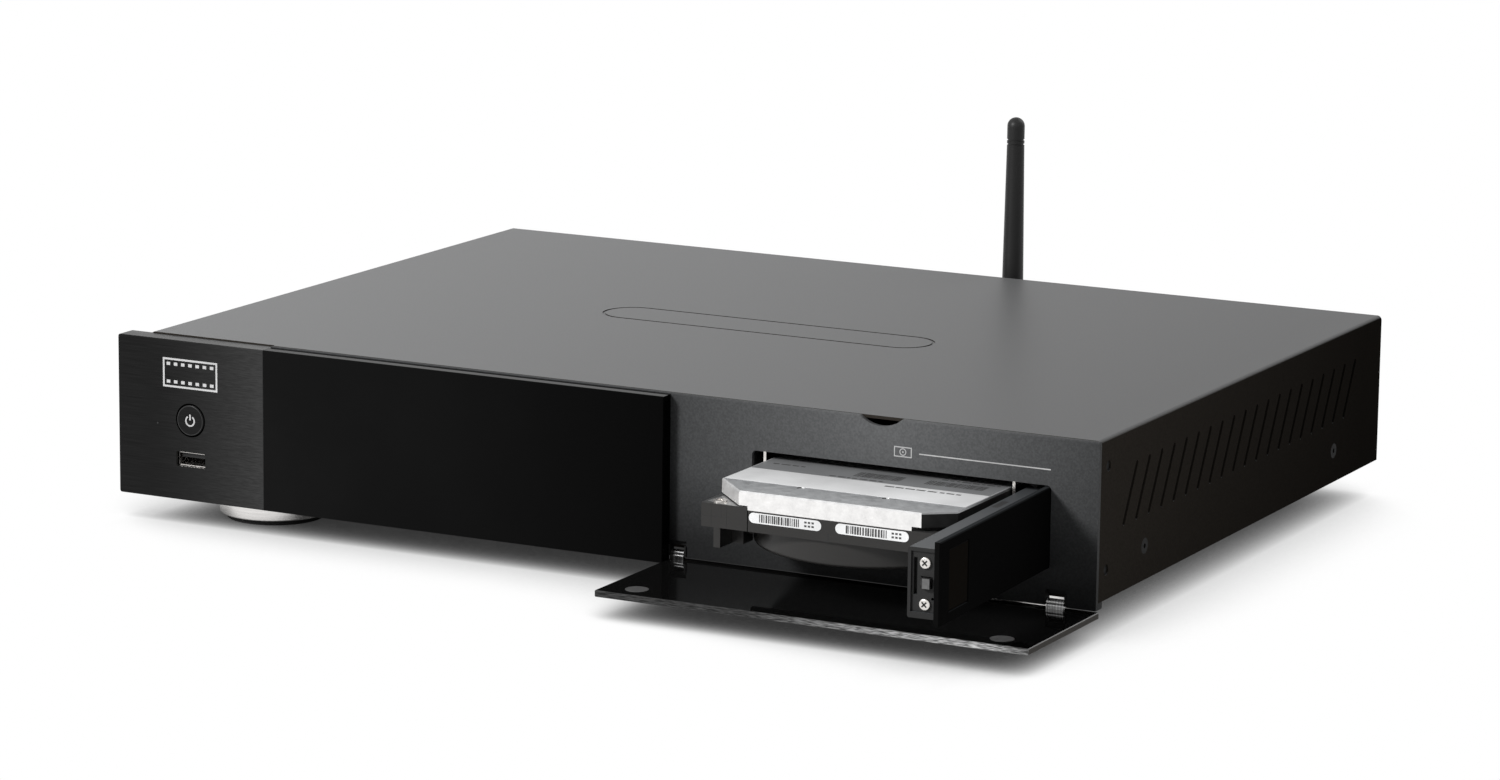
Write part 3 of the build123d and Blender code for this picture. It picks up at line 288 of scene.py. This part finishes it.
# A painted highlight along the faceplate's right edge.
FACE_EDGE = at(-146, 0, 0).x
FACE_FADE = 0.055
FACE_GLOSS = 0.1
# The window's painted reflection, paler to the left.
WINDOW_LEFT = -0.145
WINDOW_RIGHT = 0.035


def cover_coat():
    """Dark satin coat with painted light and shade: top painted paler, more so at the left, with
    sheen; sides painted nearly black and warm, darker towards the back.
    """
    material, tree, shader = start_material("cover_coat", grey(0.1), 0.42)
    fine = noise(tree, 1500.0, 2.0)
    up = faces_up(tree)
    # Painted shade: the sides darken towards the back.
    back = spread(tree, split(tree, "Object", "Y"), 1.0, BACK_SHADE, SIDE_FRONT, SIDE_BACK)
    side = tone(tree, spread(tree, fine, 0.0, 1.0), grey(0.021, 0.14), grey(0.027, 0.14))
    side = tone(tree, back, BLACK, side)
    # Painted light: the top is paler at the left than at the right.
    painted_light_fade = spread(tree, split(tree, "Object", "X"), 0.0, 1.0, COVER_LEFT, COVER_RIGHT)
    left = tone(tree, spread(tree, fine, 0.0, 1.0), grey(0.15, -0.01), grey(0.165, -0.01))
    right = tone(tree, spread(tree, fine, 0.0, 1.0), grey(0.075, -0.01), grey(0.085, -0.01))
    # Painted light and shade: the top is written paler than the sides.
    paint(tree, shader, tone(tree, up, side, tone(tree, painted_light_fade, left, right)))
    sheen = spread(tree, up, 0.0, COVER_SHEEN, 0.0, 1.0)
    tree.links.new(sheen, shader.inputs["Specular IOR Level"])
    bump(tree, shader, fine, 0.00002)
    return material


def frame_coat():
    """The panel's sprayed coat: grey and speckled, with a painted pool of light above the rack and
    painted shade darkening it towards the bottom.
    """
    material, tree, shader = start_material("frame_coat", grey(0.08), 0.5, Specular_IOR_Level=0.05)
    place = tree.nodes.new("ShaderNodeTexCoord")
    gap = tree.nodes.new("ShaderNodeVectorMath")
    gap.operation = "DISTANCE"
    gap.inputs[1].default_value = PAINTED_LIGHT_CENTRE
    tree.links.new(place.outputs["Object"], gap.inputs[0])
    # Painted light: a pale pool above the rack.
    nearness = spread(tree, gap.outputs["Value"], 1.0, 0.0, 0.0, PAINTED_LIGHT_REACH)
    speck = spread(tree, noise(tree, 1300.0, 3.0), 0.0, 1.0, 0.36, 0.66)
    low = tone(tree, speck, grey(0.028, -0.03), grey(0.037, -0.03))
    high = tone(tree, speck, grey(0.088, -0.02), grey(0.112, -0.02))
    # Painted shade: darker towards the bottom.
    painted_shade_rise = spread(tree, split(tree, "Object", "Z"), PANEL_SHADE, 1.0, PANEL_LOW, PANEL_HIGH)
    coat = tone(tree, nearness, low, high)
    paint(tree, shader, tone(tree, painted_shade_rise, BLACK, coat))
    bump(tree, shader, noise(tree, 1500.0, 2.0), 0.00003)
    return material


def face_metal(name, shade, pale):
    """Dark anodised metal brushed along X, with a painted highlight brightening it towards the
    block's right edge.
    """
    material, tree, shader = start_material(name, grey(shade), 0.36, 0.9,
                                            Specular_IOR_Level=FACE_GLOSS)
    streaks = noise(tree, 60.0, 4.0, (1, 50, 50))
    short = noise(tree, 260.0, 3.0, (1, 12, 12))
    base = tone(tree, spread(tree, streaks, 0.0, 1.0), grey(shade * 0.82), grey(shade * 1.2))
    # Painted highlight near the right edge, broken into short streaks.
    edge = spread(tree, split(tree, "Object", "X"), 0.0, 1.0, FACE_EDGE - FACE_FADE, FACE_EDGE)
    edge = math_node(tree, "POWER", edge, 1.6)
    lit = math_node(tree, "MULTIPLY", edge, spread(tree, short, 0.55, 1.0, 0.35, 0.65))
    paint(tree, shader, tone(tree, lit, base, grey(pale)))
    vary_roughness(tree, shader, spread(tree, streaks, 0.3, 0.44))
    bump(tree, shader, streaks, 0.00001)
    return material


def brushed_metal(name, shade, roughness, stretch):
    """Metal brushed along one axis: long thin streaks in colour, roughness and bump."""
    material, tree, shader = start_material(name, grey(shade), roughness, 1.0)
    streaks = noise(tree, 40.0, 4.0, stretch)
    paint(tree, shader, tone(tree, spread(tree, streaks, 0.0, 1.0), grey(shade * 0.75),
                             grey(shade * 1.25)))
    vary_roughness(tree, shader, spread(tree, streaks, roughness - 0.06, roughness + 0.08))
    bump(tree, shader, streaks, 0.00002)
    return material


def ear_metal():
    """Ears brushed upright: the right one is bare metal, the left one is a copy written much darker
    as painted shade.
    """
    material, tree, shader = start_material("ear_brushed", grey(0.4), 0.3, 1.0)
    streaks = spread(tree, noise(tree, 50.0, 4.0, (40, 1, 1)), 0.0, 1.0, 0.35, 0.65)
    bare = tone(tree, streaks, grey(0.2), grey(0.62))
    # Painted shade: the left ear's darker copy of the same metal.
    painted_dark_ear = tone(tree, streaks, grey(0.02), grey(0.06))
    side = spread(tree, split(tree, "Object", "X"), 0.0, 1.0, 0.1, 0.15)
    paint(tree, shader, tone(tree, side, painted_dark_ear, bare))
    vary_roughness(tree, shader, spread(tree, streaks, 0.25, 0.4, 0.0, 1.0))
    return material


def lid_metal():
    """Pressed aluminium lid, one metal in painted light and shade: nearly white in front, cool grey
    on top, dark on its right bevel.
    """
    material, tree, shader = start_material("lid_stamped", grey(0.6), 0.42, 0.75)
    grain = spread(tree, noise(tree, 900.0, 3.0), 0.0, 1.0)
    # Painted light: the front written nearly white, the top cool grey.
    front = tone(tree, grain, grey(0.68, 0.01), grey(0.74, 0.01))
    top = tone(tree, grain, grey(0.36, -0.02), grey(0.42, -0.02))
    # Painted shade on the right bevel.
    painted_shade_bevel = spread(tree, split(tree, "Normal", "X"), 0.0, 1.0, 0.25, 0.45)
    front = tone(tree, painted_shade_bevel, front, grey(0.035))
    paint(tree, shader, tone(tree, faces_up(tree), front, top))
    vary_roughness(tree, shader, spread(tree, noise(tree, 300.0, 3.0), 0.34, 0.5))
    return material


def flap_gloss():
    """Black gloss sheet: the front edge is paler in streaks towards the right, the right end
    brownish.
    """
    material, tree, shader = start_material("flap_gloss", grey(0.006), 0.05, Specular_IOR_Level=0.5)
    edge_streaks = spread(tree, noise(tree, 240.0, 5.0, (1, 6, 14)), 0.0, 1.0, 0.42, 0.6)
    # Paler towards the right.
    bare = spread(tree, split(tree, "Object", "X"), 0.1, 1.0, 0.1, 0.19)
    streaked_edge = tone(tree, edge_streaks, grey(0.1), grey(0.5))
    edge = tone(tree, bare, grey(0.004), streaked_edge)
    front = spread(tree, split(tree, "Normal", "Y"), 1.0, 0.0, -0.9, -0.4)
    end = spread(tree, split(tree, "Normal", "X"), 0.0, 1.0, 0.4, 0.9)
    colour = tone(tree, end, grey(0.005), grey(0.035, 0.12))
    paint(tree, shader, tone(tree, front, colour, edge))
    rough = math_node(tree, "MAXIMUM", front, end)
    tree.links.new(spread(tree, rough, 0.5, 0.03, 0.0, 1.0), shader.inputs["Specular IOR Level"])
    haze = spread(tree, noise(tree, 30.0, 4.0, (1, 3, 1)), 0.03, 0.07, 0.45, 0.75)
    vary_roughness(tree, shader, math_node(tree, "MAXIMUM", haze,
                                           math_node(tree, "MULTIPLY", rough, 0.4)))
    return material


def window_gloss():
    """Dark acrylic with a painted reflection: a trace paler at its left end."""
    material, tree, shader = start_material("window_gloss", grey(0.004), 0.12,
                                            Specular_IOR_Level=0.02)
    # Painted reflection: paler towards the left.
    across = spread(tree, split(tree, "Object", "X"), 1.0, 0.0, WINDOW_LEFT, WINDOW_RIGHT)
    haze = spread(tree, noise(tree, 25.0, 5.0, (1, 3, 1)), 0.85, 1.1, 0.4, 0.7)
    pale = math_node(tree, "MULTIPLY", across, haze)
    paint(tree, shader, tone(tree, pale, grey(0.0014), grey(0.0058)))
    vary_roughness(tree, shader, spread(tree, noise(tree, 40.0, 4.0), 0.1, 0.16, 0.45, 0.75))
    return material


def turned_metal():
    """Lathe-turned metal: fine rings round a vertical axis."""
    material, tree, shader = start_material("foot_turned", grey(0.85, 0.02), 0.26, 1.0)
    rings = noise(tree, 60.0, 3.0, (1, 1, 40))
    paint(tree, shader, tone(tree, spread(tree, rings, 0.0, 1.0), grey(0.78, 0.02),
                             grey(0.92, 0.02)))
    bump(tree, shader, rings, 0.00001)
    return material


def plain_metal(name, shade, roughness, warmth=0.0):
    """Small metal parts: faint mottling in colour and roughness."""
    material, tree, shader = start_material(name, grey(shade, warmth), roughness, 1.0)
    mottle = noise(tree, 900.0, 2.0)
    paint(tree, shader, tone(tree, spread(tree, mottle, 0.0, 1.0), grey(shade * 0.85, warmth),
                             grey(shade, warmth)))
    vary_roughness(tree, shader, spread(tree, mottle, roughness - 0.05, roughness + 0.08))
    return material


def moulded(name, shade, roughness, grain=1600.0, warmth=0.0, level=0.3):
    """Moulded plastic: a spark-eroded grain and slight cloudiness."""
    material, tree, shader = start_material(name, grey(shade, warmth), roughness,
                                            Specular_IOR_Level=level)
    fine = noise(tree, grain, 2.0)
    cloud = noise(tree, 30.0, 3.0)
    paint(tree, shader, tone(tree, spread(tree, cloud, 0.0, 1.0), grey(shade * 0.85, warmth),
                             grey(shade * 1.15, warmth)))
    vary_roughness(tree, shader, spread(tree, cloud, roughness - 0.05, roughness + 0.05))
    bump(tree, shader, fine, 0.00003)
    return material


def painted_top_light(name, side, top, roughness, level=0.1, warmth=0.0, cool=-0.06):
    """Coated part with painted light: its upward faces are written paler than the rest."""
    material, tree, shader = start_material(name, grey(side), roughness, Specular_IOR_Level=level)
    fine = spread(tree, noise(tree, 1400.0, 3.0), 0.85, 1.15, 0.35, 0.65)
    low = tone(tree, fine, grey(side * 0.9, warmth), grey(side, warmth))
    high = tone(tree, fine, grey(top * 0.85, cool), grey(top, cool))
    # Painted light: upward faces paler than the rest.
    paint(tree, shader, tone(tree, faces_up(tree), low, high))
    bump(tree, shader, fine, 0.00002)
    return material


def circuit_board():
    """Green solder mask with tracks a shade paler."""
    material, tree, shader = start_material("circuit_board", (0.01, 0.06, 0.03), 0.35)
    place = tree.nodes.new("ShaderNodeTexCoord")
    tracks = tree.nodes.new("ShaderNodeTexBrick")
    tracks.inputs["Scale"].default_value = 160.0
    tracks.inputs["Mortar Size"].default_value = 0.03
    tracks.inputs["Color1"].default_value = (0.008, 0.05, 0.022, 1)
    tracks.inputs["Color2"].default_value = (0.012, 0.065, 0.03, 1)
    tracks.inputs["Mortar"].default_value = (0.03, 0.13, 0.06, 1)
    tree.links.new(place.outputs["Object"], tracks.inputs["Vector"])
    paint(tree, shader, tracks.outputs["Color"])
    return material


def make_materials():
    """Every finish by the key that FINISH uses."""
    return {
        "cover": cover_coat(),
        "frame": frame_coat(),
        "inner_steel": brushed_metal("inner_steel", 0.5, 0.35, (1, 60, 60)),
        "faceplate": face_metal("face_brushed", 0.0135, 0.05),
        "button": face_metal("button_brushed", 0.014, 0.02),
        "window": window_gloss(),
        "flap": flap_gloss(),
        "screw": plain_metal("screw_steel", 0.75, 0.25, 0.04),
        "dark_screw": moulded("dark_screw", 0.018, 0.5, 1600.0, 0.0, 0.02),
        "ear": ear_metal(),
        "magnet": plain_metal("magnet_nickel", 0.2, 0.5),
        "black": moulded("black_moulding", 0.012, 0.45),
        "rack": moulded("rack_moulding", 0.006, 0.5),
        "rubber": moulded("black_rubber", 0.01, 0.7, 900.0),
        # The door, door shell, release and drive casting coats carry painted light on their upward
        # faces.
        "door": painted_top_light("door_coat", 0.0045, 0.03, 0.45, 0.0),
        "door_shell": painted_top_light("door_shell_coat", 0.022, 0.06, 0.4, 0.1),
        "release": painted_top_light("release_coat", 0.0065, 0.02, 0.5, 0.0, 0.16),
        "casting": painted_top_light("casting_coat", 0.02, 0.04, 0.3, 0.25, 0.04, 0.0),
        "lid": lid_metal(),
        "label": moulded("label_paper", 0.66, 0.6, 2500.0, -0.005),
        "label_grey": moulded("label_grey", 0.21, 0.45, 2500.0, -0.02),
        "ink": moulded("label_ink", 0.05, 0.6, 2500.0),
        "rim": plain_metal("rim_metal", 0.06, 0.35),
        "latch": plain_metal("latch_metal", 0.16, 0.35),
        "mark": moulded("pale_print", 0.42, 0.5, 2500.0),
        "heatsink": brushed_metal("heatsink_metal", 0.4, 0.35, (60, 1, 60)),
        "brass": plain_metal("plated_contact", 0.7, 0.25, 0.15),
        "antenna": moulded("antenna_skin", 0.015, 0.42, 1600.0, 0.0, 0.2),
        "foot": turned_metal(),
        "board": circuit_board(),
        "lead": moulded("lead_jacket", 0.02, 0.5),
    }


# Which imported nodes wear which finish.
FINISH = {
    "cover": ("top_cover", "rear_panel", "base_tray"),
    "frame": ("front_frame",),
    "inner_steel": ("rack_brackets",),
    "faceplate": ("faceplate",),
    "button": ("power_button",),
    "window": ("display_window", "display_module"),
    "flap": ("flap_panel",),
    "screw": ("door_screws", "drive_screw", "board_screws", "isolator_screws", "flap_pins",
              "door_pin", "antenna_pin", "foot_screws", "front_usb_shell", "hdmi_port",
              "network_port", "usb_ports", "ground_springs"),
    "latch": ("latch_bolt",),
    "dark_screw": ("cover_screws", "frame_screws", "hinge_brackets"),
    "ear": ("flap_ears",),
    "magnet": ("flap_magnets", "catch_magnets"),
    "black": ("front_usb_tongue", "power_switch", "drive_socket", "mains_inlet", "supply_parts"),
    "rack": ("rack_housing",),
    "rubber": ("rack_isolators", "foot_pads"),
    "door": ("door_cover",),
    "door_shell": ("door_shell", "door_end_plate"),
    "release": ("release_plate",),
    "casting": ("drive_base",),
    "lid": ("drive_cover",),
    "label": ("drive_labels",),
    "heatsink": ("main_heatsink",),
    "brass": ("board_standoffs", "front_standoffs", "audio_ports", "antenna_socket"),
    "antenna": ("antenna_base", "antenna_whip"),
    "foot": ("foot_discs",),
    "board": ("front_board", "backplane_board", "drive_board", "main_board", "supply_board"),
    "lead": ("internal_leads",),
}


def dress_cad(materials):
    """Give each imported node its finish."""
    for key, names in FINISH.items():
        for name in names:
            for slot in cad[name].material_slots:
                slot.material = materials[key]


# ---------------------------------------------------------------- flat detail pieces
# Places on the part, in millimetres of its drawing.
PANEL_Y = 5.9
DRIVE_Y = -46.0
STICKER_Y = -46.1
BLOCK_TOP = 46.9
LABEL_TOP = 53.1
SHELL_TOP = 53.4
GREY_FROM = -8.0
BUTTON_X = -180.4
BUTTON_Z = 42.2
BUTTON_RIM_Y = -0.38
BUTTON_SIGN_Y = -0.34
BUTTON_SIGN_SUNK = 0.11   # reaches down into the cap's dish
DOOR_SCREW_X = 3.8
DOOR_SCREW_Z = (32.8, 47.9)
DOOR_SCREW_HEAD = -114.3
PRINT = 0.03
THIN_PRINT = 0.02


def rectangle(x0, x1, z0, z1):
    """Four corners."""
    return [(x0, z0), (x1, z0), (x1, z1), (x0, z1)]


def disc(x, z, radius, steps):
    """The corners of a round spot."""
    return [(x + radius * cos(2 * pi * i / steps), z + radius * sin(2 * pi * i / steps))
            for i in range(steps)]


def band(x, z, radius, width, start, end, steps=28):
    """A bent bar: part of a ring, angles in degrees."""
    angles = [radians(start + (end - start) * i / steps) for i in range(steps + 1)]
    outer = [(x + (radius + width / 2) * cos(a), z + (radius + width / 2) * sin(a)) for a in angles]
    inner = [(x + (radius - width / 2) * cos(a), z + (radius - width / 2) * sin(a)) for a in angles]
    return outer + inner[::-1]


def frame_bars(x0, x1, z0, z1, width):
    """The four sides of an open rectangle."""
    return [rectangle(x0, x1, z0, z0 + width), rectangle(x0, x1, z1 - width, z1),
            rectangle(x0, x0 + width, z0 + width, z1 - width),
            rectangle(x1 - width, x1, z0 + width, z1 - width)]


def flat_piece(name, outlines, origin, right, up, thick, material, body, sunk=0.02):
    """Thin raised shapes on a plane: outlines in mm from origin, along right and up."""
    out = right.cross(up)
    mesh = bmesh.new()
    for outline in outlines:
        low = [origin + (right * a + up * b) * MM for a, b in outline]
        base = [mesh.verts.new(p - out * sunk * MM) for p in low]
        face = [mesh.verts.new(p + out * thick * MM) for p in low]
        mesh.faces.new(face)
        mesh.faces.new(base[::-1])
        for i in range(len(low)):
            j = (i + 1) % len(low)
            mesh.faces.new((base[i], base[j], face[j], face[i]))
    bmesh.ops.recalc_face_normals(mesh, faces=mesh.faces)
    data = bpy.data.meshes.new(name)
    mesh.to_mesh(data)
    mesh.free()
    data.materials.append(material)
    piece = bpy.data.objects.new(name, data)
    bpy.context.scene.collection.objects.link(piece)
    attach(piece, body)
    return piece


def make_front_marks(materials):
    """Print on the front: a pale film frame, a tiny dark dot, and a pale rule with a disc sign."""
    face = at(0, 0, 0)
    sign = frame_bars(-193.4, -167.4, 55.0, 67.0, 0.8)
    for i in range(7):
        x = -191.6 + i * 3.45
        sign += [rectangle(x, x + 1.7, 56.7, 58.0), rectangle(x, x + 1.7, 64.0, 65.3)]
    flat_piece("face_sign", sign, face, X, Z, PRINT, materials["mark"], "case")
    flat_piece("face_dot", [disc(-196.2, 39.6, 0.35, 12)], face, X, Z, PRINT, materials["rim"],
               "case")
    panel = at(0, PANEL_Y, 0)
    rule = [rectangle(141.5, 195.5, 62.3, 62.75)] + frame_bars(131.0, 138.4, 60.6, 64.6, 0.4)
    rule += [band(134.7, 62.6, 1.25, 0.35, 0, 360), disc(134.7, 62.6, 0.35, 10)]
    flat_piece("bay_sign", rule, panel, X, Z, PRINT, materials["mark"], "case")


def make_button_mark(materials):
    """The usual on and off sign, an open ring with a bar, and a thin ring on the cap's rim, painted
    paler as a highlight.
    """
    sign = [band(BUTTON_X, 42.0, 2.0, 0.62, 122, 418),
            rectangle(BUTTON_X - 0.35, BUTTON_X + 0.35, 42.3, 45.0)]
    flat_piece("power_sign", sign, at(0, BUTTON_SIGN_Y, 0), X, Z, THIN_PRINT, materials["mark"],
               "button", BUTTON_SIGN_SUNK)
    # The cap's rim, with a painted highlight: a paler metal ring.
    rim = [band(BUTTON_X, BUTTON_Z, 5.9, 0.25, 90 * i, 90 * (i + 1), 12) for i in range(4)]
    flat_piece("button_rim_highlight", rim, at(0, BUTTON_RIM_Y, 0), X, Z, THIN_PRINT, materials["rim"],
               "button")


def bars(x0, x1, z0, z1, seed, thin=0.18, thick=0.75):
    """A run of upright bars of mixed widths."""
    dice = random.Random(seed)
    made = []
    x = x0
    while x < x1:
        width = dice.uniform(thin, thick)
        made.append(rectangle(x, min(x + width, x1), z0, z1))
        x += width + dice.uniform(0.2, 0.5)
    return made


def dashes(x0, x1, y0, y1, pitch, seed):
    """Rows of short dashes, as small print looks from afar."""
    dice = random.Random(seed)
    made = []
    y = y0
    while y < y1:
        x = x0
        while x < x1:
            length = dice.uniform(1.2, 4.0)
            made.append(rectangle(x, min(x + length, x1), y, y + pitch * 0.42))
            x += length + dice.uniform(0.6, 1.3)
        y += pitch
    return made


def make_drive_print(materials):
    """The drive's label: a grey field behind the white strip, with plain bars and dashes."""
    top = at(0, 0, LABEL_TOP)
    flat_piece("label_field", [rectangle(77.9, 177.1, GREY_FROM, 96.0)], top, X, Y, THIN_PRINT,
               materials["label_grey"], "drive")
    ink = bars(118, 137, -2.5, 5.2, 3) + bars(147, 171, -1.5, 5.2, 5) + bars(120, 150, 20, 26, 7)
    ink += dashes(150, 174, 8.0, 20.0, 2.6, 9) + dashes(82, 96, 2.0, 3.4, 2.6, 11)
    ink += dashes(110, 133, -6.4, -4.6, 2.4, 12) + dashes(84, 112, 12.0, 30.0, 3.2, 13)
    flat_piece("label_bars", ink, top + Z * THIN_PRINT * MM, X, Y, THIN_PRINT, materials["ink"],
               "drive")
    strip = dashes(136, 168, -12.6, -10.4, 3.2, 15)
    flat_piece("label_dashes", strip, top, X, Y, THIN_PRINT, materials["ink"], "drive")
    front = at(0, STICKER_Y, 0)
    codes = []
    for left, seed in ((96.7, 21), (132.5, 22)):
        codes += bars(left + 4.3, left + 21.0, 41.9, 44.9, seed, 0.3, 0.85)
        codes += [rectangle(left + 23 + i * 1.5, left + 24 + i * 1.5, z, z + 0.75)
                  for i in range(3) for z in (42.3, 43.7)]
    flat_piece("sticker_bars", codes, front, X, Z, THIN_PRINT, materials["ink"], "drive")


def make_casting_details(materials):
    """Cast lines on the front left block, a seat of bare metal on it, and a mark in the middle."""
    front = at(0, DRIVE_Y, 0)
    block = [rectangle(76.9, 96.0, 42.0, 42.16), rectangle(80.8, 80.96, 38.0, 46.6),
             rectangle(84.9, 85.1, 42.1, 46.8), rectangle(87.2, 87.36, 38.0, 46.6)]
    flat_piece("casting_lines", block, front, X, Z, PRINT, materials["black"], "drive")
    mark = [rectangle(129.2, 130.0, 38.2, 41.0), rectangle(127.6, 130.0, 37.6, 38.2)]
    flat_piece("casting_mark", mark, front, X, Z, PRINT, materials["black"], "drive")
    seat = [[(77.6, -42.6), (79.0, -32.0), (93.8, -45.2), (86.0, -45.6)]]
    flat_piece("casting_seat", seat, at(0, 0, BLOCK_TOP), X, Y, PRINT, materials["heatsink"],
               "drive")


def make_door_details(materials):
    """Dark crosses in the two door screws and a small dark slot on the door's top."""
    lean = Matrix.Rotation(DOOR_LEAN, 3, "Z")
    across = lean @ X
    along = lean @ Y
    head = HINGE + along * DOOR_SCREW_HEAD * MM
    head.z = BASE
    arms = []
    for z in DOOR_SCREW_Z:
        for turn in (1, -1):
            arms.append([(DOOR_SCREW_X + turn * a - b, z + a + turn * b) for a, b in
                         ((-0.85, -0.2), (-0.85, 0.2), (0.85, 0.2), (0.85, -0.2))])
    flat_piece("screw_slots", arms, head, across, Z, PRINT, materials["black"], "rack_door")
    lid = Vector((HINGE.x, HINGE.y, BASE + SHELL_TOP * MM))
    slot = [rectangle(-1.2, 1.4, -42.0, -31.0)]
    flat_piece("door_slot", slot, lid, across, along, THIN_PRINT, materials["black"], "rack_door")


# ---------------------------------------------------------------- the scene
materials = make_materials()
dress_cad(materials)
make_front_marks(materials)
make_button_mark(materials)
make_drive_print(materials)
make_casting_details(materials)
make_door_details(materials)
make_camera()
make_world()
make_floor()
soft_lamp("key_box", KEY_PLACE, KEY_AIM, KEY_SIZE, KEY_POWER)
soft_lamp("back_box", BACK_PLACE, BACK_AIM, BACK_SIZE, BACK_POWER)
